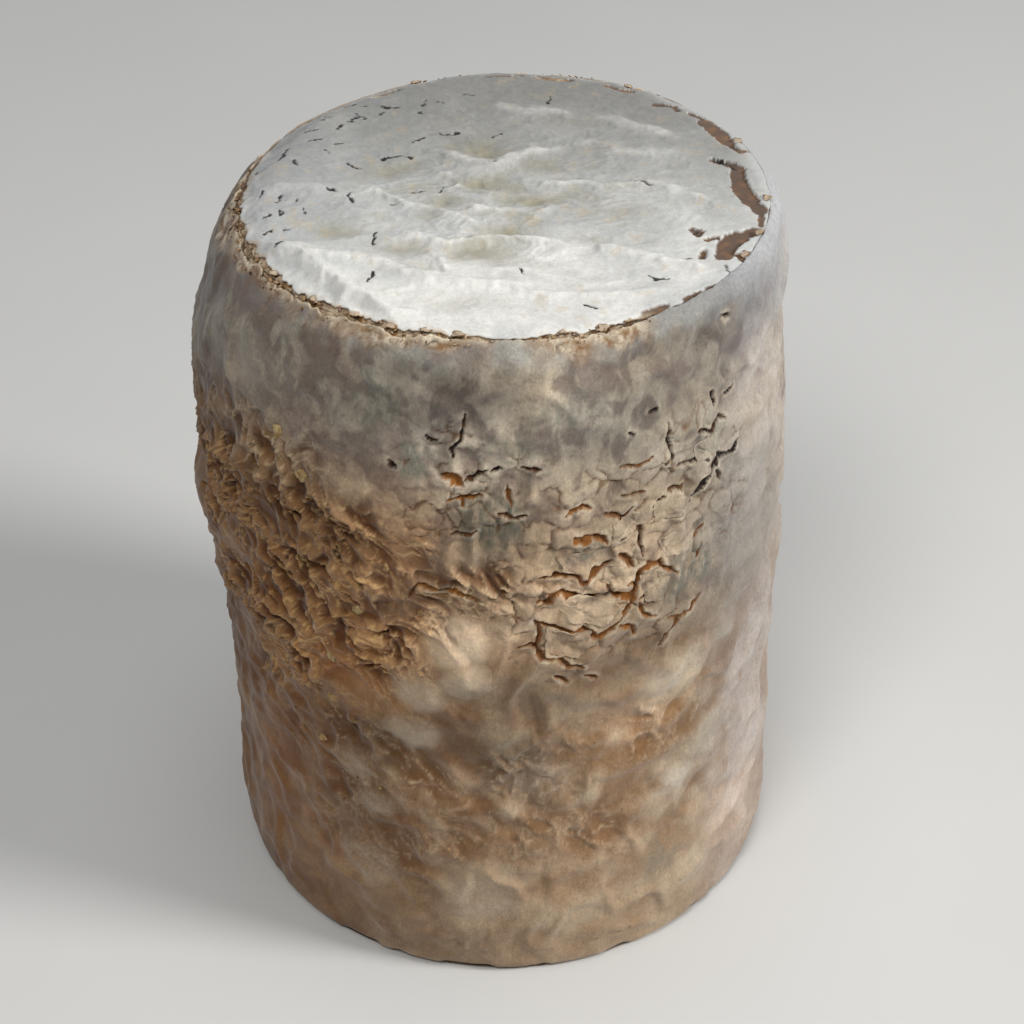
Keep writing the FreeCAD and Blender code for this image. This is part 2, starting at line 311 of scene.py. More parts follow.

# Cracks: half width, how dark they are (0 orange rind, 1 black painted shade), and a path of (azimuth,
# height).
CRACKS = [
    (0.27, 0.15, [(7.7, 57), (10, 56.3), (13, 55.3), (17, 54.8), (19.3, 53.3), (21.6, 53.9), (24, 55.2)]),
    (0.30, 0.15, [(24, 55.2), (26.5, 57.1), (27.6, 59.4), (28.5, 61), (30, 61.8), (32, 61.6), (34, 60.2),
                  (37, 58.6)]),
    (0.24, 0.35, [(4.5, 53.2), (6.5, 53.6), (8, 53.2), (8.8, 51.6), (11.8, 51.3), (14, 49.9), (16.6, 49.3)]),
    (0.24, 0.20, [(8, 53.2), (9, 55.2), (8.2, 56.8)]),
    (0.18, 0.30, [(24, 54.2), (26.5, 53.6), (27.3, 52.0)]),
    (0.34, 0.00, [(8.5, 59.7), (10.8, 59.3), (11.2, 60.4), (13.4, 60.8)]),
    (0.62, 0.00, [(13.4, 60.8), (15, 59.4), (17.5, 58.9), (20, 59.5)]),
    (0.50, 0.00, [(23, 58.9), (25.5, 57.9), (27, 57.8)]),
    (0.16, 0.60, [(21.7, 60.3), (23, 58.9)]),
    (0.30, 0.10, [(25.4, 60.1), (27.7, 59.8)]),
    (0.32, 0.30, [(9.2, 62.9), (12.5, 63.4), (14.5, 63.3), (17.2, 61.5), (20, 62.8), (22.8, 63.6)]),
    (0.34, 0.25, [(24, 64.4), (25.5, 63.6), (27.2, 61.8)]),
    (0.21, 0.70, [(24, 66.1), (27.2, 67), (28.7, 66.5), (28.5, 64.7), (28.8, 63.2)]),
    (0.58, 0.05, [(15.2, 68.2), (16.5, 67.3), (18.4, 67.7)]),
    (0.26, 0.25, [(18.4, 67.7), (20.5, 67.5), (21.7, 66.4)]),
    (0.17, 0.50, [(21, 70.2), (23, 69.7), (25, 69.2), (26.8, 70.3)]),
    (0.15, 0.50, [(22.7, 68.4), (25, 69.2)]),
    (0.19, 0.75, [(31, 69), (34.2, 69.6)]),
    (0.19, 0.60, [(35.2, 70.3), (38.6, 69.8)]),
    (0.22, 0.65, [(33.5, 67.1), (37.8, 66.6)]),
    (0.32, 1.00, [(39.5, 67.8), (43, 69.5), (45, 70.1)]),
    (0.50, 1.00, [(45, 70.1), (46.6, 70.7), (47.6, 71.4), (49.5, 70.9)]),
    (0.38, 1.00, [(49.5, 70.9), (51.2, 71.1), (52.3, 72.0)]),
    (0.30, 0.80, [(46.5, 69.9), (48.3, 68.1)]),
    (0.18, 0.85, [(36.7, 73.2), (40, 72.8), (42.5, 72.9), (44, 72.0)]),
    (0.18, 0.85, [(42, 76.1), (45.2, 75.3), (48, 76.3), (50, 75.4)]),
    (0.15, 0.80, [(33.5, 74.1), (35.5, 74.3), (35.2, 75.7), (34.5, 76.8), (34.4, 79)]),
    (0.14, 0.45, [(24, 75.6), (28, 75.2), (31.2, 75.4)]),
    (0.15, 0.55, [(24.5, 71.6), (27, 71.7), (29.6, 71.5)]),
    (0.22, 0.15, [(13.5, 71), (17, 71.8), (18.6, 71.2)]),
    (0.19, 0.20, [(28, 56.8), (28.7, 55.2), (31.5, 53.8)]),
    (0.14, 0.60, [(28.2, 57.2), (31.2, 58.4)]),
    (0.20, 0.45, [(32.6, 48.9), (34.5, 50.8), (37, 52.1), (39.5, 52.5), (42.5, 53.6)]),
    (0.18, 0.35, [(35, 52.7), (38, 52)]),
    (0.16, 0.55, [(42, 59.2), (42.8, 61.0)]),
    (0.24, 0.20, [(11.2, 48.6), (13.6, 47.4)]),
    (0.17, 0.35, [(17, 47.8), (19.4, 47)]),
    (0.13, 0.55, [(40.2, 62.4), (44, 62.9)]),
    (0.20, 1.00, [(30.5, 81), (32.3, 81)]),
    (0.22, 0.90, [(46.3, 79.8), (46.8, 78.1)]),
    (0.14, 0.90, [(50, 78.4), (53, 78.5)]),
    (0.19, 0.95, [(26, 79.4), (27.3, 78.6)]),
    (0.18, 0.75, [(5.5, 77.3), (7.5, 77.2), (9.2, 76.7)]),
    (0.20, 0.80, [(0, 77.1), (1.8, 77.3)]),
    (0.18, 0.30, [(3.2, 75), (3.8, 72.6)]),
    (0.19, 0.65, [(1.7, 71.9), (4.2, 71.3), (6.6, 71.4)]),
    (0.15, 0.85, [(-5.3, 83.7), (-5.8, 80.8), (-7.5, 79.5), (-7.2, 78.6)]),
    (0.15, 0.90, [(-12.2, 80.9), (-10.2, 80.4)]),
    (0.24, 0.85, [(-19, 77.1), (-17.7, 76.3)]),
    (0.58, 0.00, [(-9.0, 76.2), (-7.2, 76.2), (-5, 75.4)]),
    (0.17, 0.75, [(-4.4, 75.8), (-2.6, 76.4), (-1.0, 77.1)]),
    (0.20, 0.10, [(-7.8, 73.3), (-5, 73.6), (-1.6, 73.7)]),
    (0.17, 0.10, [(-5, 73.6), (-4.8, 72.4)]),
    (0.13, 0.60, [(-6.8, 69), (-4.4, 69.1), (-2.2, 69.6)]),
    (0.20, 0.10, [(-13, 62.3), (-9.4, 61.7), (-6, 61.6), (-2, 60.2)]),
    (0.15, 0.50, [(-13, 62.3), (-14.6, 60.2)]),
    (0.20, 0.95, [(48.5, 88.6), (50.2, 88.2)]),
]

# Slits in the top skin: x, y, length and direction, about the drum's own axis.
TOP_SLITS = [
    (-18.5, 20.6, 1.4, 35), (-16.9, 17.2, 1.6, -60), (-17.7, 16.4, 1.4, 45), (-21, 17.4, 1.4, -50),
    (-19.2, 14.7, 0.8, 70), (-22, 11.6, 1.2, 20), (-19.3, 10.8, 0.9, 0), (-25.6, 8.4, 2.6, 75),
    (-12.8, 7.4, 2.8, 26), (-11, 7.6, 1.2, -35), (-17.2, 5.4, 1.5, -30), (-24, 6.2, 1.2, -70),
    (-9.4, 20.3, 1.3, 80), (5.6, 21.2, 1.7, 80), (-6.2, 12.7, 2.0, 8), (-0.8, 12.2, 1.2, 40),
    (-19.4, -0.2, 0.9, -25), (-17.2, -2, 2.6, -70), (-7, -0.1, 1.1, 85), (-9.6, -0.6, 1.4, 5),
    (-23.3, -2.8, 0.9, 80), (-25.2, -2.2, 1.6, 70), (-26.4, -6.2, 1.1, 45), (-24.9, -5.5, 1.0, -80),
    (-24, -9.1, 0.5, 0), (-14.2, -10.7, 2.0, 86), (-14.4, -18.6, 2.0, 75), (-24.3, -13, 1.1, 45),
    (16.2, -18.9, 1.2, -30), (17.0, -19.2, 0.9, 5), (20, -15.3, 0.7, 0), (24.4, -17.6, 1.6, -70),
    (2, -17.6, 0.9, -60), (25.8, 5.8, 3.0, -38), (15.8, 1, 1.8, -22), (-28.6, 4.6, 1.0, 70),
    (-22.6, 13.9, 1.4, 10), (-27.4, -1, 1.2, 80), (-12.2, -3.8, 0.5, 0), (9.2, -25, 1.2, -30),
    (-9.8, 11.4, 1.6, 30), (21.2, -9.2, 1.2, 60), (-20.4, 21.8, 1.0, 70), (-13.6, 19.4, 2.4, -8),
]

# Folds of the top skin: half width, height, and a path of (x, y) about the drum's own axis.
TOP_FOLDS = [
    (1.2, 0.55, [(-29, -10.5), (-24, -13), (-17, -14.6), (-12.5, -16), (-8, -19), (-4, -20), (0, -20.6),
                 (4, -23)]),
    (1.2, 1.05, [(-27, -11.0), (-22.4, -14.6), (-19.2, -18.6), (-16.8, -22.4), (-13, -25.4), (-9, -26.6)]),
    (0.9, 0.50, [(-14, -10), (-10, -11.2), (-6, -12), (-2, -10.8), (2, -10.6), (5, -11.8), (9, -12.4)]),
    (0.9, 0.50, [(9, -12.4), (13, -14), (17, -15), (20, -17), (22, -19)]),
    (0.9, 0.38, [(-20, 0.5), (-15, 0), (-13, -2), (-10, -4), (-6, -6), (-3, -7.5), (-2, -10)]),
    (0.9, 0.38, [(1, 2.5), (5, 1), (9, 1), (12, 0.8), (15, 1.5), (18, 0.2), (22, -2), (26, -4.5)]),
    (0.9, 0.36, [(-10, 10), (-6, 8), (-4, 6), (-1, 5), (1, 6.5), (4, 8.5), (7, 10)]),
    (1.5, 0.42, [(-4, 19.5), (2, 18.5), (8, 17), (13, 15.5), (17, 13), (22, 10.5)]),
    (1.5, 0.28, [(6, 11.5), (12, 9.5), (17, 8), (22, 7)]),
    (0.8, 0.40, [(-4, -3), (-1, -5.5), (3, -6.3), (6, -4.5)]),
    (1.6, 0.28, [(-29, -1), (-24, 0.6), (-20, 0.5)]),
    (1.1, 0.34, [(0, -21), (6, -22.6), (12, -23), (18, -21.4)]),
    (0.7, 0.32, [(-9.5, -14), (-7, -15), (-6.4, -17.6), (-3, -19.6)]),
    (0.7, 0.30, [(-8, 3.2), (-5.6, 2.4), (-5, 0.2), (-1.6, -0.8), (1.4, 0.6)]),
]

# Hollows of the top skin: x, y, half width, half height, direction, depth.
TOP_HOLLOWS = [
    (-12.5, 4.6, 3.4, 1.6, 10, 0.42), (-2.4, 8.4, 2.7, 2.0, -20, 0.50), (4.6, 5.4, 2.4, 2.1, 0, 0.36),
    (-2.4, 1.3, 3.2, 1.5, -8, 0.60), (3.4, -2.5, 3.2, 1.5, 10, 0.58), (-7, -2.8, 2.0, 1.5, 20, 0.42),
    (0.6, -9, 3.4, 1.3, -8, 0.52), (-18.4, -9, 3.2, 1.5, 5, 0.40), (-11, -13, 3.4, 1.2, -15, 0.44),
    (-3, -13.6, 3.4, 1.8, -8, 0.50), (9.6, -11, 2.6, 0.9, -18, 0.25), (-9, -17.2, 2.4, 0.9, -30, 0.30),
    (12, -5, 4.0, 2.2, 0, 0.18), (-4.6, -24, 4.0, 1.4, -6, 0.18),
]


def random_cracks(count, azimuths, heights, seed):
    """Short wandering cracks for the stretches that are turned away from the front."""
    draw = np.random.RandomState(seed)
    made = []
    for _ in range(count):
        a, z = draw.uniform(*azimuths), draw.uniform(*heights)
        heading = draw.uniform(-0.6, 0.6)
        path = [(a, z)]
        for _ in range(draw.randint(1, 5)):
            heading += draw.uniform(-0.9, 0.9)
            stride = draw.uniform(0.8, 1.9)
            a += math.degrees(stride * math.cos(heading) / RADIUS)
            z += stride * math.sin(heading)
            path.append((a, z))
        made.append((draw.uniform(0.09, 0.22), draw.uniform(0, 0.8), path))
    return made


ALL_CRACKS = CRACKS + random_cracks(30, (100, 175), (54, 84), 3)
ALL_CRACKS += random_cracks(24, (-170, -100), (60, 84), 4) + random_cracks(10, (150, 210), (28, 52), 5)


def crack_field(azimuth, rise, points):
    """How deep the cracks are, how dark, and how much their lips stand up."""
    wander = 0.20 * noise(points, 1.1, 60) + 0.08 * noise(points, 0.45, 64)
    wander_up = 0.20 * noise(points, 1.1, 61) + 0.08 * noise(points, 0.45, 65)
    width_noise = np.clip(1 + 0.9 * noise(points, 1.0, 62), 0.25, 2.0)
    depth = np.zeros(rise.shape)
    tone = np.zeros(rise.shape)
    lips = np.zeros(rise.shape)
    for half_width, dark, path in ALL_CRACKS:
        middle = path[0][0]
        line = [(math.radians(a - middle) * RADIUS, z) for a, z in path]
        x = around(azimuth, middle)
        near = (x > min(p[0] for p in line) - 1.6) & (x < max(p[0] for p in line) + 1.6)
        near &= (rise > min(p[1] for p in line) - 1.6) & (rise < max(p[1] for p in line) + 1.6)
        if not near.any():
            continue
        distance, share = line_distance(x[near] + wander[near], rise[near] + wander_up[near], line)
        width = half_width * width_noise[near] * smooth(np.minimum(share, 1 - share), -0.12, 0.30)
        opened = (1 - smooth(distance, width * 0.55, width + 0.14)) * min(1.0, 0.45 + 2.0 * half_width)
        tone[near] = np.where(opened > depth[near], dark, tone[near])
        depth[near] = np.maximum(depth[near], opened)
        lip = np.exp(-((distance - width - 0.22) / 0.30) ** 2) * min(1.0, half_width / 0.22)
        lips[near] = np.maximum(lips[near], lip)
    return depth, tone, lips * (1 - smooth(depth, 0, 0.3))


# ---- where the skins are torn apart -------------------------------------------------
# Width of the tear between the two skins, by azimuth.
TEAR_WIDTH = [
    (-180, 0.3), (-150, 0.2), (-115, 0.4), (-95, 0.7), (-75, 0.9), (-60, 0.9), (-45, 0.9), (-35, 0.8),
    (-24, 0.7), (-14, 0.6), (-8, 0.4), (-3, 0.4), (0, 0.2), (6, 0.3), (12, 0.6), (20, 0.7), (28, 0.4),
    (34, 0.12), (60, 0.06), (130, 0.06), (140, 0.3), (150, 0.7), (158, 0.2), (168, 0.5), (180, 0.3),
]


def by_azimuth(table, azimuth):
    turn = (np.degrees(azimuth) + 180) % 360 - 180
    return np.interp(turn, [row[0] for row in table], [row[1] for row in table])


def torn_here(azimuth):
    """1 where the two skins are torn apart, 0 where they are still grown together."""
    return smooth(by_azimuth(TEAR_WIDTH, azimuth), 0.12, 0.5)


# ---- the side skin ------------------------------------------------------------------
VELVET_WARM = linear("ac9d87")
VELVET_COOL = linear("9b9486")
VELVET_MAUVE = linear("85736a")
BONE = linear("c6baa6")
LOW_BEIGE = linear("a18a70")
OCHRE = linear("93744a")
TAN = linear("a3855c")
BROWN = linear("725134")
PIT_BROWN = linear("624321")
WEB_MAUVE = linear("aa9882")
DARK_BROWN = linear("3a2615")
CREAM_AND_HIGHLIGHT = linear("d0c4a8")
PINK_GREY = linear("a38f81")
PINK_CREAM = linear("ab9882")
NODULE_CREAM = linear("b09c70")
RUST = linear("84602f")
CRACK_ORANGE = linear("8a5722")
CRACK_BLACK = linear("1d1210")
LIP_CREAM = linear("d2c5ad")
BLUE_MOULD = linear("6e7064")
TUFT_WHITE = linear("bdb3a2")
# SHOULDER_GREY is the top's grey mould kept darker than on the top, as painted shade.
SHOULDER_GREY = linear("acaba6")
LOW_RUST = linear("80603c")
WISP_DARK = linear("645750")
WISP_PALE = linear("bcb2a4")
LOW_PALE = linear("b8ab92")
LOW_FOOT = linear("a8947a")
WARMING = np.array([0.09, 0.22, 0.34])      # share of red, green and blue lost where the skin is warmed
COOLING = np.array([0.0, 0.02, 0.12])       # share of each gained on the right


def side_masks(azimuth, rise, points):
    """How strongly each place belongs to the curdy, dry, blue and pale stretches."""
    ragged = 0.42 * fractal(points, 5.0, 4, 20)
    kinds = {
        "curd": (CURD_PATCHES, 1.0), "dry": (DRY_PATCHES, 1.0),
        "blue": (BLUE_PATCHES, 2.0), "pale": (PALE_PATCHES, 1.2),
    }
    return {kind: patches(azimuth, rise, places, torn * ragged) for kind, (places, torn) in kinds.items()}


def curd_relief(points, mask):
    """A web of soft crests round pits: its height, the web's share, sharp crest tops and a slow tint."""
    height, web, sharp, tint = (np.zeros(mask.shape) for _ in range(4))
    on = mask > 0.02
    p = points[on]
    flowing = np.stack([p[:, 0], p[:, 1], 1.10 * p[:, 2] + 0.55 * p[:, 0]], -1)
    p = warped(warped(flowing, 6.0, 2.0, 30), 2.2, 0.75, 33)
    big = crest(p, 6.0, 36, 0.50)
    middle = crest(p, 2.9, 37, 0.42)
    small = crest(p, 1.3, 38, 0.40)
    fine = ridged(p, 0.9, 2, 86)
    split = crest(warped(p, 1.2, 0.5, 87), 2.4, 89, 0.07) * smooth(noise(p, 3.0, 90), 0.0, 0.25)
    crests = 1.05 * big + 0.62 * middle + 0.30 * small * (0.4 + middle) + 0.20 * fine
    height[on] = crests - 1.07 - 0.25 * split
    web[on] = 0.45 * big + 0.38 * middle + 0.17 * small - 0.8 * split
    sharp[on] = np.maximum(middle, big) * crest(p, 1.3, 38, 0.22)
    tint[on] = 0.5 + 0.8 * fractal(p, 3.4, 3, 34)
    return height, web, sharp, tint


def dry_scales(points, mask):
    """Skin dried into small scales: each one's own tilt and height, and the fine lines between them."""
    height, line = np.zeros(mask.shape), np.zeros(mask.shape)
    on = mask > 0.03
    p = warped(warped(points[on], 2.6, 1.0, 46), 0.9, 0.30, 67)
    near, second, tint = cells(p * np.array([0.8, 0.8, 1.15]), 2.7, 48)
    gap = second - near
    height[on] = 0.34 * (tint - 0.5) + 0.20 * smooth(gap, 0.0, 0.5) + 0.10 * fractal(p, 1.2, 3, 47)
    shown = smooth(noise(points[on], 3.2, 51), -0.02, 0.22)
    line[on] = (1 - smooth(gap, 0.015, 0.075)) * shown
    return height * mask, line * smooth(mask, 0.15, 0.6)


def crust(points, seed):
    """Dry crumbly crust: its relief and its colour."""
    p = warped(points, 1.6, 0.8, seed)
    shreds = fractal(p, 1.7, 4, seed + 3, 0.7)
    creases = crest(p, 2.3, seed + 7, 0.10) * smooth(noise(points, 3.0, seed + 8), -0.05, 0.25)
    paint = mix(RUST, PINK_CREAM, smooth(shreds, -0.22, 0.0))
    paint = mix(paint, LIP_CREAM, smooth(shreds, 0.04, 0.26))
    paint = mix(paint, BROWN, smooth(-shreds, 0.20, 0.42))
    # Painted shade: the creases are painted near-black.
    paint = mix(paint, CRACK_BLACK, creases * 0.85)
    return 0.55 * shreds - 0.25 * creases, paint


def low_pillow(points, rise):
    """The soft swellings of the lower half."""
    swelling = noise(warped(points, 5.0, 1.8, 75), 6.5, 78)
    return swelling * smooth(62 - rise, 0, 16) * smooth(rise, 2, 8)


def tone_and_shade_factor(azimuth, rise, points):
    """How much the broad places of the skin are lightened or darkened: own tone, painted light and shade."""
    drift = 2.6 * fractal(points, 5.0, 3, 180)
    steps_up = np.zeros(rise.shape)
    for middle, height, wide, tall, factor in TONE_AND_SHADE_PATCHES:
        reach = np.hypot((around(azimuth, middle) + drift) / wide, (rise - height + drift) / tall)
        steps_up = steps_up + math.log(factor) * np.exp(-reach ** 2)
    return np.exp(steps_up)


def puff_halo(azimuth, rise):
    """How white the skin is round the tufts of young mould."""
    halo = np.zeros(rise.shape)
    for middle, height, wide, tall in PUFFS:
        reach = np.hypot(around(azimuth, middle) / (1.9 * wide), (rise - height) / (1.9 * tall))
        halo = np.maximum(halo, np.exp(-2.8 * reach ** 2))
    return halo


def side_fields(azimuth, rise, points):
    """What the relief and the paint of the side skin share, for flat arrays of places."""
    masks = side_masks(azimuth, rise, points)
    left = smooth(-np.sin(azimuth), -0.3, 0.9)
    faint = 0.30 * left * smooth(rise, 12, 34) * smooth(-rise, -84, -70)
    rough = np.maximum(masks["curd"], faint)
    rough = rough * (0.35 + 0.65 * smooth(noise(warped(points, 4.0, 1.5, 97), 8.0, 98), -0.42, 0.05))
    curd, web, sharp, tint = curd_relief(points, rough)
    scales, lines = dry_scales(points, masks["dry"])
    return SimpleNamespace(
        azimuth=azimuth, side=np.sin(azimuth), rise=rise, points=points, masks=masks, left=left,
        rough=rough, curd=curd, web=web, sharp=sharp, tint=tint, scales=scales, lines=lines,
        halo=puff_halo(azimuth, rise) * smooth(noise(points, 3.4, 96), -0.75, -0.1),
        folds=crest(warped(points, 6.0, 2.8, 70), 7.0, 73, 0.5),
        broad=fractal(points, 11.0, 3, 54),
        blotch=fractal(warped(points, 4.0, 2.0, 57), 3.8, 4, 58),
        speckle=fractal(points, 0.7, 3, 63),
    )


def side_relief(skin):
    """How far the side skin stands out of the bare outline, without its cracks."""
    points, rise = skin.points, skin.rise
    loose = (1 - 0.8 * skin.masks["pale"]) * (1 - 0.9 * smooth(skin.halo, 0.1, 0.5))
    height = 0.30 * fractal(points, 16.0, 3, 40) + 0.20 * fractal(points, 4.5, 4, 43, 0.6)
    height = height + 0.55 * (skin.folds - 0.5)
    for middle, z, wide, tall, out in BODY_LUMPS:
        reach = (around(skin.azimuth, middle) / wide) ** 2 + ((rise - z) / tall) ** 2
        height = height + out * np.exp(-reach)
    curdy = skin.rough * skin.curd * loose * (0.45 + 0.50 * smooth(rise, 26, 46))
    height = height + curdy + skin.scales * loose
    height = height + 0.05 * fractal(points, 0.8, 2, 49) * (0.4 + skin.rough)
    return height + 0.30 * skin.masks["pale"] + 0.42 * low_pillow(points, rise)


def velvet_paint(skin):
    """The skin's ground colours: wisps above, soft mottles below, grey on the shoulder."""
    points, rise, broad, blotch = skin.points, skin.rise, skin.broad, skin.blotch
    streak = 0.55 * fractal(warped(points, 5.0, 2.0, 68), 7.5, 3, 50) + 0.45 * fractal(points, 2.6, 4, 52)
    high = smooth(rise, 40, 62)
    paint = mix(VELVET_WARM, VELVET_COOL, 0.30 + 1.3 * broad + 0.3 * smooth(rise, 70, 90))
    paint = mix(paint, LOW_BEIGE, smooth(54 - rise + 24 * broad, 0, 34) * 0.85)
    paint = mix(paint, VELVET_MAUVE, smooth(streak + 0.3 * blotch, -0.02, 0.32) * (0.35 + 0.45 * high))
    paint = mix(paint, BONE, smooth(-streak - 0.3 * blotch, 0.04, 0.36) * (0.20 + 0.30 * high))
    wisps = fractal(warped(points * np.array([1, 1, 0.7]), 3.2, 2.2, 100), 4.6, 5, 103, 0.62)
    # Painted shade and light: the wisps lean dark on the left and pale on the right.
    side_shade = 0.10 + 0.16 * skin.left - 0.22 * smooth(skin.side, 0.3, 0.8)
    paint = mix(paint, WISP_DARK, smooth(wisps + side_shade, 0.04, 0.34) * high * 0.75)
    paint = mix(paint, WISP_PALE, smooth(-wisps - side_shade, 0.04, 0.36) * high * 0.55)
    paint = mix(paint, BONE, smooth(skin.scales, -0.02, 0.22) * 0.65)
    # Painted shade: the hollows between the folds are darkened towards mauve on the left.
    paint = mix(paint, VELVET_MAUVE, smooth(0.4 - skin.folds, 0, 0.4) * 0.45 * skin.left)

    pillow = noise(warped(points, 5.0, 1.8, 75), 6.5, 78)
    pillow = pillow + 0.45 * noise(warped(points, 2.4, 0.9, 95), 2.9, 79)
    low_tone = mix(LOW_RUST, LOW_BEIGE, smooth(pillow + 0.25 * blotch, -0.30, 0.15))
    low_tone = mix(low_tone, LOW_PALE, smooth(pillow, 0.10, 0.55) * 0.8)
    low_tone = mix(low_tone, LOW_FOOT, smooth(26 - rise, 0, 18) * 0.6)
    low = smooth(58 - rise + 6 * broad, 0, 14)
    paint = mix(paint, low_tone, low * (0.85 - 0.45 * smooth(skin.side, 0.6, 0.95)))

    right = smooth(skin.side, 0.72, 0.94) * smooth(rise + 5 * broad, 80, 90)
    paint = mix(paint, SHOULDER_GREY, right * 0.85)
    closed = 1 - torn_here(skin.azimuth)
    shoulder = smooth(points[:, 2] - HEIGHT + 1.2 * noise(points, 1.8, 83), -4.2, -0.8)
    return mix(paint, SHOULDER_GREY, shoulder * (0.55 + 0.40 * closed))


def curd_paint(skin, paint):
    """Brown stains over the ground, then brown pits and cream crests in the curdy stretches."""
    rise, blotch, speckle = skin.rise, skin.blotch, skin.speckle
    stain = skin.rough * 0.75 + 0.45 * skin.left * smooth(82 - rise, 0, 14)
    stain = stain + 0.9 * blotch * smooth(66 - rise, 0, 12)
    paint = mix(paint, BROWN, smooth(stain, 0.05, 0.95) * smooth(86 - rise, 0, 10) * 0.7)
    # Brown pits and mauve crests, partly the curd's own colours and partly painted shade and light.
    lumps = mix(PIT_BROWN, WEB_MAUVE, smooth(skin.web, 0.22, 0.72))
    lumps = mix(lumps, OCHRE, smooth(skin.tint, 0.58, 0.85) * 0.5)
    # Painted highlight on cream curd: the sharp crest tops are whitened.
    lumps = mix(lumps, CREAM_AND_HIGHLIGHT, smooth(skin.sharp + 0.6 * speckle + 0.3 * blotch, 0.40, 0.80) * 0.9)
    # Painted shade: the deepest pits are darkened.
    pits = smooth(0.30 - skin.web + 0.5 * speckle, 0.02, 0.25)
    lumps = mix(lumps, DARK_BROWN, pits * (0.2 + 0.4 * smooth(rise, 32, 46)))
    lumps = mix(lumps, LOW_RUST, 0.5 * smooth(46 - rise, 0, 14))
    return mix(paint, lumps, np.clip(1.15 * skin.rough, 0, 0.92))


def mould_paint(skin, paint):
    """White mould clouds, blue-grey mould and the velvet's fine grain and specks."""
    points = skin.points
    cloud = skin.masks["pale"] * smooth(skin.blotch + 0.7, 0.1, 0.8)
    paint = mix(paint, TUFT_WHITE, np.maximum(cloud * 0.7, smooth(skin.halo, 0.02, 0.95) * 0.85))
    hatch = noise(points * np.array([1, 1, 0.22]), 0.34, 66)
    fibres = smooth(fractal(points * np.array([1, 1, 0.4]), 1.1, 4, 71, 0.7), -0.30, 0.12)
    paint = mix(paint, BLUE_MOULD, skin.masks["blue"] * fibres * (0.85 + 0.5 * hatch))
    paint = paint * (1 + 0.13 * skin.speckle + 0.07 * hatch)[:, None]
    specks = smooth(noise(points, 0.8, 84), 0.60, 0.75) * smooth(noise(points, 6.0, 94), 0.0, 0.3)
    return mix(paint, DARK_BROWN, specks * 0.3)


def shaded(skin, paint):
    """Painted light and shade over the broad stretches of the whole side, with its warm and cool tints."""
    side, rise = skin.side, skin.rise
    # Painted shade on the upper front and left, the right from halfway up, the far right and the low left.
    shade = 1 - 0.26 * smooth(rise + 3 * skin.broad, 72, 86) * smooth(-side, -0.75, -0.2)
    shade = shade * (1 - 0.34 * smooth(side, 0.2, 0.5) * smooth(-side, -0.90, -0.76) * smooth(rise, 30, 50))
    shade = shade * (1 - 0.16 * smooth(-side, 0.80, 0.97)) * (1 - 0.14 * skin.left * smooth(30 - rise, 0, 22))
    warmth = smooth(80 - rise, 0, 14) * smooth(-side, -0.80, -0.45) * smooth(np.cos(skin.azimuth), -0.3, 0.1)
    warmth = warmth * (1 + 0.95 * smooth(-side, -0.05, 0.5))
    warmth = warmth * (1 - 0.6 * smooth(44 - rise, 0, 12) * smooth(side, -0.85, -0.40))
    cooling = smooth(side, 0.62, 0.85) * (1 + smooth(56 - rise, 0, 12))
    paint = paint * (shade * tone_and_shade_factor(skin.azimuth, rise, skin.points))[:, None]
    return paint * (1 - warmth[:, None] * WARMING) * (1 + cooling[:, None] * COOLING)


def add_cracks(skin, height, paint):
    """The relief and the paint with cracks cut in, and with the fine lines of the dry stretches."""
    paint = mix(paint, PIT_BROWN, skin.lines * 0.75)
    depth, tone, lips = crack_field(skin.azimuth, skin.rise, skin.points)
    height = height + 0.12 * lips - 0.42 * smooth(depth, 0.15, 1.0) - 0.14 * skin.lines
    # Painted shade: the cracks darken from orange-brown rind towards black, most along their deepest middle.
    inside = mix(CRACK_ORANGE, CRACK_BLACK, 1.1 * tone + 0.4 * skin.speckle - 0.06)
    inside = mix(inside, CRACK_BLACK, smooth(depth, 0.8, 1.0) * (0.08 + 0.6 * tone))
    paint = mix(paint, LIP_CREAM, lips * 0.40 * smooth(noise(skin.points, 1.6, 99), -0.2, 0.3))
    return height, mix(paint, inside, smooth(depth, 0.02, 0.25))


def side_surface(azimuth, rise, with_cracks=True):
    """Displacement in millimetres and colour of the side skin, for flat arrays of places."""
    points, normals = skin_frame(azimuth, rise)
    skin = side_fields(azimuth, rise, points)
    height = side_relief(skin)
    paint = shaded(skin, mould_paint(skin, curd_paint(skin, velvet_paint(skin))))
    if with_cracks:
        height, paint = add_cracks(skin, height, paint)
    return points, normals, height, np.clip(paint, 0.002, 0.95)


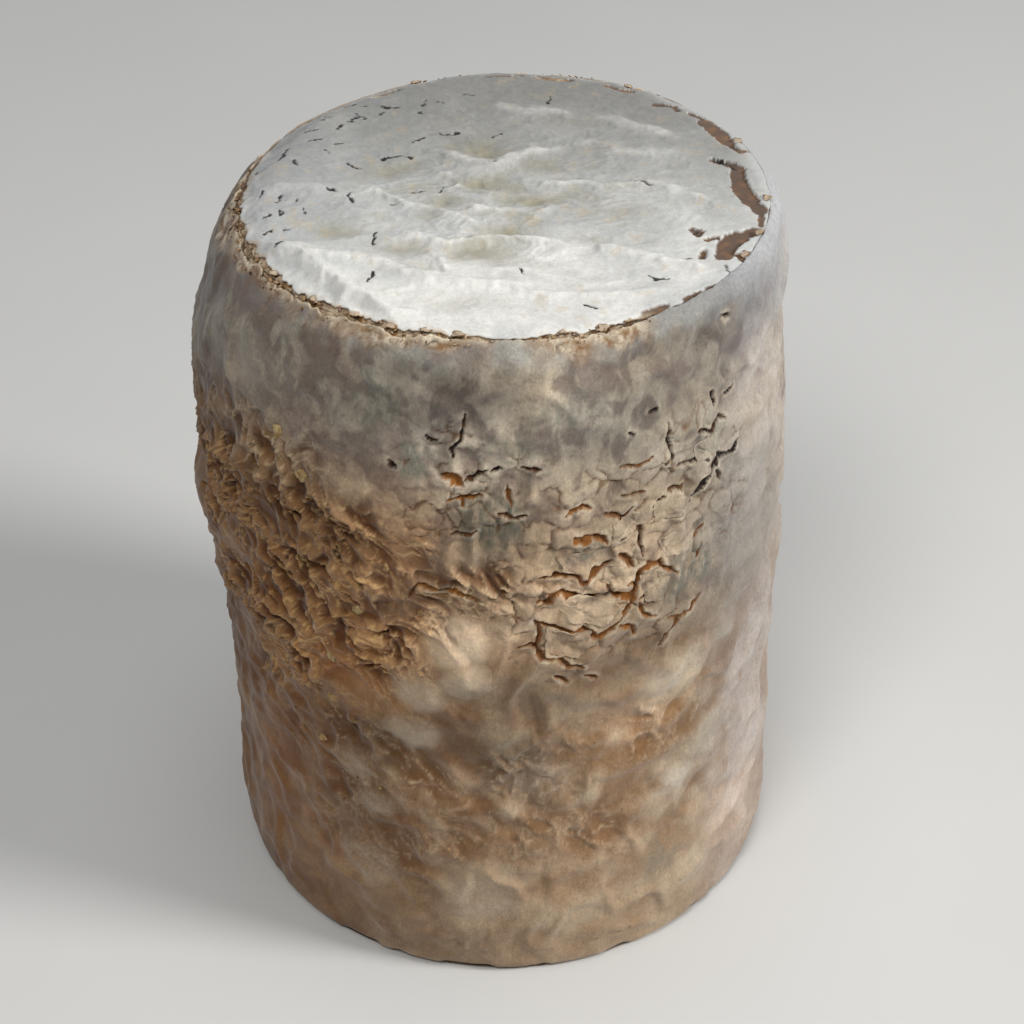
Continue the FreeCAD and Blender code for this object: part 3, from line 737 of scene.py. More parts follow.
# ---- building meshes ----------------------------------------------------------------
class Pile:
    """Points, faces and colours of one mesh, gathered from any number of pieces."""

    def __init__(self):
        self.points, self.paint, self.quads, self.triangles = [], [], [], []
        self.count = 0

    def add(self, points, paint, quads=None, triangles=None):
        points = np.asarray(points, float).reshape(-1, 3)
        self.points.append(points)
        self.paint.append(np.broadcast_to(paint, points.shape))
        if quads is not None and len(quads):
            self.quads.append(np.asarray(quads) + self.count)
        if triangles is not None and len(triangles):
            self.triangles.append(np.asarray(triangles) + self.count)
        self.count += len(points)

    def build(self, name, material, slot, *stands_for):
        points = np.concatenate(self.points) * MM
        paint = np.concatenate(self.paint)
        quads = np.concatenate(self.quads) if self.quads else np.zeros((0, 4), int)
        triangles = np.concatenate(self.triangles) if self.triangles else np.zeros((0, 3), int)
        corners = np.concatenate([quads.ravel(), triangles.ravel()]).astype(np.int32)
        starts = np.concatenate([np.arange(len(quads)) * 4, len(quads) * 4 + np.arange(len(triangles)) * 3])
        mesh = bpy.data.meshes.new(name)
        mesh.vertices.add(len(points))
        mesh.vertices.foreach_set("co", points.astype(np.float32).ravel())
        mesh.loops.add(len(corners))
        mesh.loops.foreach_set("vertex_index", corners)
        mesh.polygons.add(len(starts))
        mesh.polygons.foreach_set("loop_start", starts.astype(np.int32))
        mesh.polygons.foreach_set("use_smooth", np.ones(len(starts), bool))
        mesh.update(calc_edges=True)
        mesh.validate()
        layer = mesh.attributes.new("paint", "FLOAT_COLOR", "POINT")
        layer.data.foreach_set("color", np.c_[paint, np.ones(len(paint))].astype(np.float32).ravel())
        mesh.materials.append(material)
        piece = bpy.data.objects.new(name, mesh)
        bpy.context.collection.objects.link(piece)
        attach(piece, "root")
        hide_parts(*stands_for)
        return piece


def grid_faces(rows, columns):
    """Quads of a grid whose rows run round the drum."""
    across = np.arange(columns)
    row = np.arange(rows - 1)[:, None] * columns
    following = (across + 1) % columns
    corners = [row + across, row + following, row + columns + following, row + columns + across]
    return np.stack(corners, -1).reshape(-1, 4)


def hub_fan(hub, ring, columns, mirrored=False):
    """Triangles from a hub point to the ring of points that starts at the given one."""
    this, following = ring + np.arange(columns), ring + (np.arange(columns) + 1) % columns
    pair = [following, this] if mirrored else [this, following]
    return np.stack([np.full(columns, hub)] + pair, -1)


def all_round(columns):
    """Evenly spaced azimuths of one full turn."""
    return np.arange(columns) / columns * 2 * math.pi


def rough_ring(turn, offset, size, octaves, seed, gain=0.5):
    """Noise that closes on itself after one turn. The offset makes each ring different."""
    ring = np.stack([np.cos(turn), np.sin(turn), 0 * turn + offset], -1) * 2.0
    return fractal(ring, size, octaves, seed, gain)


def steps(bands):
    """Values along a line, each band (from, to, spacing) filled evenly."""
    parts = [np.linspace(a, b, max(2, int(round((b - a) / gap))), endpoint=False) for a, b, gap in bands]
    return np.concatenate(parts)


# ---- the torn rim -------------------------------------------------------------------
def ring_noise(azimuth, size, octaves, seed):
    circle = np.stack([MITRE_TOP * np.sin(azimuth), MITRE_TOP * np.cos(azimuth), 0 * azimuth], -1)
    return fractal(circle, size, octaves, seed, 0.65)


def tear_wander(azimuth):
    """How far outside its even course the tear runs."""
    return (0.15 + 1.55 * smooth(by_azimuth(TEAR_WIDTH, azimuth), 0.2, 0.7)) * ring_noise(azimuth, 6.5, 4, 60)


def torn_edge(azimuth, seed):
    """How far a skin's ragged edge draws back from the tear's middle line."""
    width = by_azimuth(TEAR_WIDTH, azimuth)
    bays = ring_noise(azimuth, 3.4, 3, seed)
    teeth = ring_noise(azimuth, 0.9, 4, seed + 4)
    return 0.5 * width + (0.10 + 0.60 * width) * bays + (0.12 + 0.30 * width) * teeth


def top_skin_edge(azimuth):
    return rim_radius(azimuth) - torn_edge(azimuth, 70) + 0.8 * tear_wander(azimuth)


def side_skin_edge(azimuth):
    """How far up the shoulder the side skin reaches, as a rise."""
    shoulder = shoulder_radius(azimuth)
    return HEIGHT - shoulder + shoulder * rim_slope(azimuth) - torn_edge(azimuth, 80) - tear_wander(azimuth)


AZIMUTH_BANDS = [(-180, -96, 0.74), (-96, -26, 0.38), (-26, 57, 0.30), (57, 96, 0.54), (96, 180, 0.74)]
WALL_BANDS = [(1.0, 44.0, 0.34), (44.0, 84.0, 0.19), (84.0, 100.0, 0.20)]


def side_skin(material):
    azimuths = np.radians(steps(AZIMUTH_BANDS))
    share = (steps(WALL_BANDS) - 1.0) / 99.0
    edge = side_skin_edge(azimuths)
    low = HEEL * (1 - math.radians(50))
    rise = low + (edge - low)[None, :] * np.append(share, 1.0)[:, None]
    azimuth = np.broadcast_to(azimuths, rise.shape)
    points, normals, height, paint = side_surface(azimuth.ravel(), rise.ravel())
    to_edge = (edge[None, :] - rise).ravel()
    torn = torn_here(azimuth.ravel())
    curl = 0.28 * torn * np.exp(-(to_edge / 0.5) ** 2) * smooth(noise(points, 2.0, 80), -0.3, 0.5)
    bumps, crumbly = crust(points, 85)
    reach = np.maximum(0.3, 1.5 + 2.2 * noise(points, 3.5, 81))
    crusted = torn * smooth(reach - to_edge, -0.8, 0.8)
    paint = mix(paint, crumbly, crusted * 0.85)
    stained = torn * smooth(noise(points, 2.6, 82) + 0.1, 0, 0.4) * np.exp(-(to_edge / 3.6) ** 2)
    paint = mix(paint, BROWN, stained * 0.4)
    paint = mix(paint, LIP_CREAM, 0.5 * torn * np.exp(-(to_edge / 0.35) ** 2))
    curl = curl + 0.45 * bumps * crusted
    height = height * (0.35 + 0.65 * smooth(to_edge, 0, 4))
    lift = np.where(rise.ravel() < 4.0, np.minimum(height, 0.0), height)
    surface = points + normals * (lift + curl)[:, None]
    columns, rows = len(azimuths), rise.shape[0]
    # The torn upper edge turns down to the rind.
    last = slice((rows - 1) * columns, rows * columns)
    folds, shades = [], []
    for drop, back, brown in ((0.22, -0.05, 0.6), (0.6, 0.05, 0.9), (1.1, 0.5, 1.0)):
        inner, inward = skin_frame(azimuths, edge - back)
        folds.append(inner + inward * ((lift + curl)[last] - drop)[:, None])
        shades.append(mix(paint[last], BROWN, brown))
    everything, tones = np.concatenate([surface] + folds), np.concatenate([paint] + shades)
    pile = Pile()
    pile.add(everything, tones, grid_faces(rows + len(folds), columns))
    return pile.build("side_bloom_skin", material, "side_skin", "side_bloom")


# ---- the top skin -------------------------------------------------------------------
# TOP_WHITE_AND_HIGHLIGHT is the top's white mould, also used for painted highlights and the painted light of
# the front.
TOP_WHITE_AND_HIGHLIGHT = linear("dbdad5")
TOP_COOL = linear("b9bab8")
TOP_GREY_AND_SHADE = linear("858480")
TOP_HOLLOW = linear("8f8a74")
TOP_OCHRE = linear("b09a78")
TOP_BLUE = linear("9ea3a6")
SLIT_BLACK = linear("17120f")
RIND_MAUVE = linear("5b4535")

# Places where the top skin has come away and the rind shows: half width and a path of (x, y).
BARE_STRIPS = [
    (0.45, [(22.4, 17.8), (23.6, 16.6)]), (1.05, [(24.0, 15.6), (25.4, 12.9)]),
    (0.85, [(25.4, 12.9), (26.3, 10.6)]), (0.40, [(26.6, 9.6), (27.6, 8.4)]),
    (0.35, [(27.6, 8.4), (28.2, 8.9)]), (0.55, [(25.8, 5.6), (27.0, 4.8)]),
    (0.30, [(24.0, 6.4), (26.4, 5.2)]), (0.80, [(26.9, 4.6), (26.9, 0.6)]),
    (1.05, [(26.9, 0.6), (27.8, -2.6)]), (0.80, [(27.8, -2.6), (28.9, -4.8)]),
    (0.30, [(28.9, -5.4), (28.6, -8.2)]), (0.75, [(28.0, -9.2), (25.8, -10.6)]),
    (1.25, [(25.8, -10.6), (24.6, -12.2)]), (1.00, [(24.6, -12.2), (24.0, -14.6)]),
    (0.45, [(23.4, -10.8), (22.4, -11.2)]), (0.40, [(25.6, -14.4), (26.0, -15.4)]),
    (0.45, [(20.9, -9.0), (21.8, -9.4)]), (0.35, [(21.2, -9.8), (21.5, -10.2)]),
    (0.32, [(21.9, -13.6), (21.6, -15.0)]), (0.75, [(14.2, -28.4), (15.4, -26.0)]),
    (0.55, [(15.4, -26.0), (17.2, -24.9)]), (0.40, [(13.4, -29.6), (14.2, -28.4)]),
    (0.30, [(19.4, -23.2), (21.0, -22.0)]), (0.22, [(21.8, -21.2), (23.0, -20.4)]),
    (0.40, [(18.2, 20.0), (20.4, 19.6)]), (0.35, [(20.4, 19.6), (20.8, 18.6)]),
    (0.35, [(-2.0, 27.4), (2.0, 27.6)]), (0.45, [(4.0, 27.2), (8.0, 26.4)]),
    (0.40, [(12.5, 24.8), (15.5, 23.2)]), (0.45, [(-15.4, 22.8), (-13.0, 24.2)]),
]


def bare_rind(x, y, points):
    """How bare each place on the top is, from 0 under sound skin to 1 in a hole with torn edges."""
    ragged = 0.30 * fractal(points, 1.6, 3, 114, 0.7) + 0.22 * fractal(points, 0.6, 2, 132, 0.7) - 0.04
    islands = smooth(noise(points, 0.9, 127), 0.30, 0.42)
    bare = np.zeros(x.shape)
    for half_width, path in BARE_STRIPS:
        distance, _ = line_distance(x, y, path)
        reach = distance + ragged * min(1.0, 2 * half_width)
        open_here = 1 - smooth(reach, half_width - 0.06, half_width + 0.10)
        bare = np.maximum(bare, open_here)
    return bare * (1 - islands * smooth(-bare, -0.98, -0.2))


def turned(x, y, middle_x, middle_y, degrees):
    """Coordinates about a middle, along and across a direction."""
    c, s = math.cos(math.radians(degrees)), math.sin(math.radians(degrees))
    dx, dy = x - middle_x, y - middle_y
    return dx * c + dy * s, -dx * s + dy * c


def top_relief(points, x, y):
    """The top's folds and hollows: its height, how deep in a hollow and how far down its soft ripples."""
    warp_x = x + 0.9 * noise(points, 4.0, 90) + 0.3 * noise(points, 1.3, 91)
    warp_y = y + 0.9 * noise(points, 4.0, 92) + 0.3 * noise(points, 1.3, 93)
    height = 0.32 * fractal(points, 14.0, 3, 95) + 0.05 * fractal(points, 2.0, 3, 98)
    folds = np.zeros(x.shape)
    for wide, tall, path in TOP_FOLDS:
        distance, share = line_distance(warp_x, warp_y, path)
        ends = smooth(np.minimum(share, 1 - share), -0.05, 0.2)
        folds = np.maximum(folds, 1.15 * tall * ends * np.exp(-(distance / (0.85 * wide)) ** 2))
    soft = ridged(warped(points * np.array([0.8, 1.3, 1]), 5.0, 2.2, 101), 4.6, 3, 104)
    centre = smooth(-np.hypot(x, y), -27, -8)
    height = height + folds + (0.22 + 0.30 * centre) * (soft - 0.62)
    hollows = np.zeros(x.shape)
    for mx, my, wide, tall, degrees, depth in TOP_HOLLOWS:
        along, across = turned(warp_x, warp_y, mx, my, degrees)
        dip = np.exp(-(along / wide) ** 2 - (across / tall) ** 2)
        height = height - 0.9 * depth * dip
        hollows = np.maximum(hollows, dip * depth / 0.55)
    height = height + 0.03 * fractal(points, 0.7, 2, 107)
    return height, hollows, smooth(0.62 - soft, 0.05, 0.35) * centre


def top_slits(points, x, y):
    """How open each place of the top is, from 0 to 1 in the middle of a slit."""
    fine_x = x + 0.34 * noise(points, 1.1, 110) + 0.20 * noise(points, 0.5, 128)
    fine_y = y + 0.34 * noise(points, 1.1, 111) + 0.20 * noise(points, 0.5, 129)
    slit_width = 0.105 * np.clip(1 + 1.5 * noise(points, 0.6, 112), 0.0, 2.4)
    slits = np.zeros(x.shape)
    for mx, my, length, degrees in TOP_SLITS + stray_slits():
        along, across = turned(fine_x, fine_y, mx, my, degrees)
        reach = np.hypot(np.maximum(np.abs(along) - length / 2, 0), across)
        slits = np.maximum(slits, 1 - smooth(reach, slit_width * 0.5, slit_width + 0.12))
    return slits


def top_surface(points, seam=0.0):
    """Displacement and colour of the top skin. seam is 1 where it is grown together with the side."""
    x, y = points[:, 0] - FOOT.x, points[:, 1] - FOOT.y
    height, hollows, ripple = top_relief(points, x, y)
    slits = top_slits(points, x, y)
    bare = bare_rind(x, y, points)

    broad = fractal(points, 9.0, 3, 116)
    mottle = fractal(points, 1.6, 4, 119)
    speckle = fractal(points, 0.5, 2, 123)
    # Painted light and shade, over the top's own grey-white mottles: whiter towards the front, greyer towards
    # the back.
    paint = mix(TOP_WHITE_AND_HIGHLIGHT, TOP_COOL, 0.9 * broad + smooth(y, -28, -2))
    paint = mix(paint, TOP_GREY_AND_SHADE, smooth(y + 8 * broad, -18, 28) * 0.9)
    paint = mix(paint, TOP_BLUE, smooth(-x + 12 * broad, 8, 26) * 0.35)
    # Painted shade: the hollows and the troughs of the soft ripples are darkened.
    paint = mix(paint, TOP_HOLLOW, np.clip(hollows + 0.15 * mottle, 0, 1) * 0.85)
    paint = mix(paint, TOP_HOLLOW, ripple * 0.35)
    # Painted highlight: the raised folds are whitened.
    paint = mix(paint, TOP_WHITE_AND_HIGHLIGHT, smooth(height, 0.05, 0.55) * 0.55)
    paint = mix(paint, TOP_OCHRE, smooth(mottle + 0.6 * broad, 0.28, 0.6) * 0.30)
    paint = mix(paint, TOP_COOL, seam * np.ones_like(x))
    # Painted shade: darker towards the back.
    paint = paint * (1 - 0.16 * smooth(y, -4, 16))[:, None]
    paint = paint * (1 + 0.15 * mottle + 0.12 * speckle)[:, None]

    floor_tone = mix(RIND_MAUVE, BROWN, smooth(mottle, -0.05, 0.30) * 0.8)
    floor_tone = mix(floor_tone, TOP_OCHRE, smooth(-y - x, 8, 16) * 0.8) * (1 + 0.35 * mottle)[:, None]
    paint = mix(paint, TOP_WHITE_AND_HIGHLIGHT, smooth(bare, 0.01, 0.2) * 0.5)
    # Painted shadow: a dark ring round each bare patch, under the torn skin's edge.
    paint = mix(paint, DARK_BROWN, smooth(bare, 0.25, 0.50) * 0.8)
    paint = mix(paint, floor_tone, smooth(bare, 0.60, 0.90))
    # Painted shade: the slits are painted near-black for the shade inside them.
    paint = mix(paint, SLIT_BLACK, smooth(slits, 0.15, 0.6))
    height = height * (1 - bare) - 0.14 * slits - 0.38 * bare
    return height, np.clip(paint, 0.002, 0.95)


def stray_slits():
    """Small slits scattered along the left and back of the top."""
    draw = np.random.RandomState(21)
    made = []
    for _ in range(10):
        azimuth = math.radians(draw.uniform(-175, -60))
        radius = draw.uniform(20, 30)
        place = (radius * math.sin(azimuth), -radius * math.cos(azimuth))
        made.append((*place, draw.uniform(0.3, 1.3), draw.uniform(0, 180)))
    return made


TOP_COLUMNS = 880
TOP_RINGS = 180


def top_skin(material):
    azimuths = all_round(TOP_COLUMNS)
    edge = top_skin_edge(azimuths)
    share = (np.arange(TOP_RINGS) + 1) / TOP_RINGS
    azimuth = np.broadcast_to(azimuths, (TOP_RINGS, TOP_COLUMNS)).ravel()
    radius = (share[:, None] * edge[None, :]).ravel()
    points, normals = top_frame(azimuth, radius)
    to_edge = (edge[None, :] * (1 - share[:, None])).ravel()
    torn = torn_here(azimuth)
    height, paint = top_surface(points, (1 - torn) * np.exp(-(to_edge / 1.5) ** 2))
    lifted = smooth(noise(points, 3.0, 130), -0.25, 0.5)
    height = height * smooth(to_edge, -1.0, 1.5) + 0.22 * torn * np.exp(-(to_edge / 0.8) ** 2) * lifted
    paint = mix(paint, TOP_WHITE_AND_HIGHLIGHT, 0.5 * torn * np.exp(-(to_edge / 0.6) ** 2))
    rubbed = torn * np.exp(-(to_edge / 0.35) ** 2) * smooth(noise(points, 1.8, 131), -0.1, 0.5)
    paint = mix(paint, TOP_OCHRE, 0.7 * rubbed)
    surface = points + normals * height[:, None]
    last = slice((TOP_RINGS - 1) * TOP_COLUMNS, TOP_RINGS * TOP_COLUMNS)
    folds, shades = [], []
    for drop, back, brown in ((0.14, -0.03, 0.25), (0.42, 0.06, 0.8), (1.1, 0.8, 1.0)):
        inner, inward = top_frame(azimuths, edge - back)
        folds.append(inner + inward * (height[last] - drop)[:, None])
        shades.append(mix(paint[last], OCHRE, brown * (0.2 + 0.8 * torn[last])))
    middle, _ = top_frame(np.zeros(1), np.zeros(1))
    middle_height, middle_paint = top_surface(middle)
    everything = np.concatenate([surface] + folds + [middle + [[0, 0, float(middle_height[0])]]])
    pile = Pile()
    pile.add(everything, np.concatenate([paint] + shades + [middle_paint]),
             grid_faces(TOP_RINGS + 3, TOP_COLUMNS), hub_fan((TOP_RINGS + 3) * TOP_COLUMNS, 0, TOP_COLUMNS))
    return pile.build("top_bloom_skin", material, "top_skin", "top_bloom")


# ---- the rind under the skins -------------------------------------------------------
def rind_paint(points, azimuth):
    """Smooth mauve-brown rind on the right and at the back, a crumbly crust of many tones elsewhere."""
    crumbly = smooth(-np.sin(azimuth), -0.62, -0.30)
    grain = fractal(points, 1.0, 4, 140)
    bumps, tones = crust(points, 141)
    paint = mix(RIND_MAUVE * np.ones_like(tones), mix(tones, OCHRE, 0.25), crumbly)
    return np.clip(paint * (1 + 0.30 * grain)[:, None], 0.002, 0.9), crumbly, 0.4 * grain + 1.6 * bumps


def crust_heap(grain):
    """How high the crust piles up in the tear, kept under the skins' outer faces."""
    return np.minimum(0.40 + 0.35 * grain, 0.50)


RIND_COLUMNS = 600


def side_rind(material):
    azimuths = all_round(RIND_COLUMNS)
    share = np.concatenate([np.linspace(0, 0.90, 80, endpoint=False), np.linspace(0.90, 1, 50)])
    shoulder = shoulder_radius(azimuths)
    edge = HEIGHT - shoulder + shoulder * rim_slope(azimuths)
    rise = 0.9 + (edge - 0.9)[None, :] * share[:, None]
    azimuth = np.broadcast_to(azimuths, rise.shape).ravel()
    points, normals = skin_frame(azimuth, rise.ravel())
    paint, crumbly, grain = rind_paint(points, azimuth)
    # Where the skin dips, the rind dips with it, so that it never comes through.
    _, _, skin, _ = side_surface(azimuth, rise.ravel(), False)
    heap = crumbly * smooth(rise.ravel() - edge.min(), -6, 0) * crust_heap(grain)
    surface = points + normals * (0.05 * grain + heap + np.minimum(skin, 0) - BLOOM - 0.12)[:, None]
    deep_points, deep_normals = skin_frame(azimuths, edge)
    rim = deep_points - deep_normals * 1.9
    foot_points, foot_normals = skin_frame(azimuths, np.full(RIND_COLUMNS, 0.9))
    foot = foot_points - foot_normals * 1.9
    shades = np.concatenate([paint[:RIND_COLUMNS], paint, paint[-RIND_COLUMNS:]])
    pile = Pile()
    pile.add(np.concatenate([foot, surface, rim]), shades, grid_faces(rise.shape[0] + 2, RIND_COLUMNS))
    return pile.build("side_rind_wall", material, "rind", "side_rind")


def top_rind(material):
    azimuths = all_round(RIND_COLUMNS)
    edge = rim_radius(azimuths)
    share = np.concatenate([np.linspace(0.02, 0.8, 40, endpoint=False), np.linspace(0.8, 1.0, 34)])
    azimuth = np.broadcast_to(azimuths, (len(share), RIND_COLUMNS)).ravel()
    points, normals = top_frame(azimuth, (share[:, None] * edge[None, :]).ravel())
    paint, crumbly, grain = rind_paint(points, azimuth)
    heap = crumbly * smooth(np.repeat(share, RIND_COLUMNS), 0.84, 0.92) * crust_heap(grain)
    surface = points + normals * (0.05 * grain + heap - BLOOM - 0.10)[:, None]
    outer_points, outer_normals = top_frame(azimuths, edge)
    rim = outer_points - outer_normals * 1.7
    middle, _ = top_frame(np.zeros(1), np.zeros(1))
    fan = hub_fan((len(share) + 1) * RIND_COLUMNS, 0, RIND_COLUMNS)
    pile = Pile()
    pile.add(np.concatenate([surface, rim, middle - [[0, 0, BLOOM + 0.1]]]),
             np.concatenate([paint, paint[-RIND_COLUMNS:], paint[:1]]),
             grid_faces(len(share) + 1, RIND_COLUMNS), fan)
    return pile.build("top_rind_disc", material, "rind", "top_rind")


def bottom_rind(material):
    columns, rings_each = 240, 30
    azimuths = all_round(columns)
    foot, _ = skin_frame(azimuths, np.full(columns, HEEL))
    hub = np.array([FOOT.x, FOOT.y, 0.0])
    underside, upper_side = 0.75, 1.75
    inner_edge, outer_edge = 0.02, 0.97
    rings = []
    for height, start, end in ((underside, inner_edge, outer_edge), (upper_side, outer_edge, inner_edge)):
        shares = np.linspace(start, end, rings_each)
        ring = (hub + shares[:, None, None] * (foot - hub)[None]).reshape(-1, 3)
        ring[:, 2] = height + 0.1 * fractal(ring, 3.0, 3, 148)
        rings.append(ring)
    disc = np.concatenate(rings + [hub[None] + [[0, 0, underside]], hub[None] + [[0, 0, upper_side]]])
    paint, _, _ = rind_paint(disc, np.full(len(disc), -1.0))
    low_hub, high_hub = len(disc) - 2, len(disc) - 1
    low = hub_fan(low_hub, 0, columns, mirrored=True)
    high = hub_fan(high_hub, (2 * rings_each - 1) * columns, columns)
    pile = Pile()
    pile.add(disc, paint, grid_faces(2 * rings_each, columns), np.concatenate([low, high]))
    return pile.build("bottom_rind_disc", material, "rind", "bottom_rind")


# ---- the cheese inside --------------------------------------------------------------
def inner_body(name, node, slot, material, inset):
    """A closed body of the drum's shape, drawn in by the inset all round."""
    columns = 240
    azimuths = all_round(columns)
    low = HEEL * (1 - math.pi / 2)
    shoulder = shoulder_radius(azimuths)
    high = HEIGHT - shoulder + shoulder * math.pi / 2
    share = np.linspace(0, 1, 160)
    rise = low + (high - low)[None, :] * share[:, None]
    azimuth = np.broadcast_to(azimuths, rise.shape).ravel()
    points, normals = skin_frame(azimuth, rise.ravel())
    middle = np.stack([centre_x(points[:, 2]), np.full(len(points), FOOT.y)], -1)
    points[:, :2] = middle + (points[:, :2] - middle) * (1 - inset / RADIUS)
    points[:, 2] = inset + points[:, 2] * (1 - 2 * inset / HEIGHT)
    points = points + normals * (0.12 * fractal(points, 4.0, 3, 160))[:, None]
    hubs = np.array([[FOOT.x, FOOT.y, inset], [centre_x(HEIGHT), FOOT.y, HEIGHT - inset]])
    low_fan = hub_fan(len(points), 0, columns, mirrored=True)
    high_fan = hub_fan(len(points) + 1, (len(share) - 1) * columns, columns)
    pile = Pile()
    pile.add(np.concatenate([points, hubs]), BONE, grid_faces(len(share), columns),
             np.concatenate([low_fan, high_fan]))
    return pile.build(name, material, slot, node)


# ---- the skin that the drum stands on -----------------------------------------------
def bottom_skin(material):
    columns = 360
    azimuths = all_round(columns)
    rises = HEEL * (1 - np.radians(np.linspace(90, 48, 9)))
    rise = np.repeat(rises[:, None], columns, 1).ravel()
    azimuth = np.broadcast_to(azimuths, (len(rises), columns)).ravel()
    points, normals, height, paint = side_surface(azimuth, rise, False)
    surface = points + normals * np.minimum(height, 0)[:, None] * 0.4
    surface[:, 2] = np.maximum(surface[:, 2], 0)
    shares = np.linspace(0.03, 0.985, 60)
    foot, _ = skin_frame(azimuths, np.full(columns, rises[0]))
    hub = np.array([FOOT.x, FOOT.y, 0.0])
    disc = (hub + shares[:, None, None] * (foot - hub)[None]).reshape(-1, 3)
    dents = np.maximum(0, fractal(disc, 5.0, 4, 150)) * 0.22
    disc[:, 2] = dents * np.repeat(smooth(1 - shares, 0, 0.1), columns)
    disc_paint = mix(LOW_BEIGE, PINK_GREY, 0.5 + fractal(disc, 6.0, 4, 154))
    disc_paint = mix(disc_paint, BROWN, smooth(fractal(disc, 2.4, 4, 158), 0.05, 0.5) * 0.7)
    both = np.concatenate([disc, surface, hub[None]])
    pile = Pile()
    pile.add(both, np.concatenate([disc_paint, paint, disc_paint[:1]]),
             grid_faces(len(shares) + len(rises), columns), hub_fan(len(both) - 1, 0, columns, mirrored=True))
    return pile.build("bottom_bloom_skin", material, "base_skin", "bottom_bloom")


# ---- small pieces -------------------------------------------------------------------
def ball(rings, segments):
    """Directions and faces of a closed round mesh."""
    polar = np.linspace(0, math.pi, rings + 2)[1:-1]
    turn = all_round(segments)
    body = np.stack([np.sin(polar)[:, None] * np.cos(turn), np.sin(polar)[:, None] * np.sin(turn),
                     np.repeat(np.cos(polar)[:, None], segments, 1)], -1).reshape(-1, 3)
    points = np.concatenate([body, [[0, 0, 1], [0, 0, -1]]])
    top = hub_fan(len(body), 0, segments)
    bottom = hub_fan(len(body) + 1, (rings - 1) * segments, segments, mirrored=True)
    quads = grid_faces(rings, segments)[:, ::-1]
    return points, quads, np.concatenate([top, bottom])


def tangents(normal, spin):
    """Two directions along the surface, first round the drum and up it, then turned by the spin."""
    along = np.cross([0, 0, 1.0], normal)
    if np.linalg.norm(along) < 0.05:
        along = np.array([1.0, 0, 0])
    along = along / np.linalg.norm(along)
    up = np.cross(normal, along)
    return along * math.cos(spin) + up * math.sin(spin), up * math.cos(spin) - along * math.sin(spin)


def add_lump(pile, place, normal, sizes, colours, seed, fineness=(12, 18)):
    """A rough lump: half sizes along, up and out; colours for its hollows and its crests."""
    directions, quads, triangles = ball(*fineness)
    rough = fractal(directions * 1.0 + seed * 3.1, 0.8, 3, 170, 0.6)
    facets = cells(directions * 1.0 + seed * 1.7, 0.7, 171)[2]
    local = directions * (1 + 0.60 * rough + 0.12 * (facets - 0.5))[:, None] * np.array(sizes)
    along, up = tangents(normal, seed * 2.4)
    points = place + local[:, :1] * along + local[:, 1:2] * up + local[:, 2:] * normal
    paint = mix(colours[0], colours[1], 0.4 + 1.6 * rough + 0.6 * (facets - 0.5))
    pile.add(points, paint, quads, triangles)


NODULES = [
    (-43.5, 75.4, 1.6, 2.0), (-36.5, 72.2, 1.4, 1.5), (-32.0, 69.0, 1.9, 1.7),
    (-44.0, 60.0, 1.5, 1.2), (-38.0, 60.2, 1.2, 1.1), (-25.5, 56.2, 1.3, 1.4),
    (-19.0, 63.4, 1.5, 1.0), (-42.5, 52.8, 1.0, 1.5), (-32.5, 48.0, 0.9, 1.7),
    (-50.0, 66.5, 1.3, 1.2), (-56.0, 60.5, 1.4, 1.3), (-28.0, 64.6, 1.3, 1.1),
    (-20.5, 53.2, 1.1, 1.2), (-13.0, 57.6, 1.1, 1.0), (-38.5, 32.8, 1.2, 1.0),
    (-34.5, 40.4, 1.1, 1.4), (-47.5, 47.0, 1.1, 1.2), (-8.0, 60.8, 1.6, 0.8),
]
PALE_NODULES = (0, 1, 4, 5, 7, 8)       # which of them are the pale cream ones


def curd_nodules(material):
    draw = np.random.RandomState(31)
    places = [(a, z, w, h, k) for k, (a, z, w, h) in enumerate(NODULES)]
    for middle, height, wide, tall, strength in CURD_PATCHES:
        for _ in range(int(wide * tall * strength * 0.03)):
            a = middle + math.degrees(draw.normal(0, 0.5) * wide / RADIUS)
            z = height + draw.normal(0, 0.5) * tall
            size = draw.uniform(0.2, 0.5)
            places.append((a, z, size * draw.uniform(0.8, 1.3), size * draw.uniform(0.8, 1.4), len(places)))
    spots = np.array([(math.radians(p[0]), p[1]) for p in places])
    points, normals, height, _ = side_surface(spots[:, 0], spots[:, 1])
    tones = [(BROWN, OCHRE), (OCHRE, TAN), (BROWN, TAN), (DARK_BROWN, OCHRE)]
    pile = Pile()
    for (_, _, wide, tall, k), point, normal, lift in zip(places, points, normals, height):
        big = k < len(NODULES)
        out = 0.28 * min(wide, tall)
        colours = tones[draw.randint(4)]
        if k in PALE_NODULES:
            colours = (OCHRE, NODULE_CREAM)
        fineness = (20, 30) if big else (8, 12)
        sunk = point + normal * (lift - 0.1 * out)
        add_lump(pile, sunk, normal, (wide * 0.55, tall * 0.55, out), colours, k, fineness)
    return pile.build("curd_nodule_lumps", material, "curd_knob", "curd_nodules")


def close_scab(pile, top, under, top_paint, under_paint, fineness, mirrored=False):
    """Add a thin closed piece: two like faces of rings round a hub, the last point, and the wall between."""
    rings, segments = fineness
    count = len(top)
    quads = grid_faces(rings, segments)
    wall = hub_fan(count - 1, (rings - 1) * segments, segments)[:, 1:]
    wall = np.concatenate([wall, wall[:, ::-1] + count], 1)
    if not mirrored:
        quads, wall = quads[:, ::-1], wall[:, [0, 3, 2, 1]]
    fan = hub_fan(count - 1, 0, segments, mirrored)
    quads = np.concatenate([quads, quads[:, ::-1] + count, wall])
    fans = np.concatenate([fan, fan[:, ::-1] + count])
    pile.add(np.concatenate([top, under]), np.concatenate([top_paint, under_paint]), quads, fans)


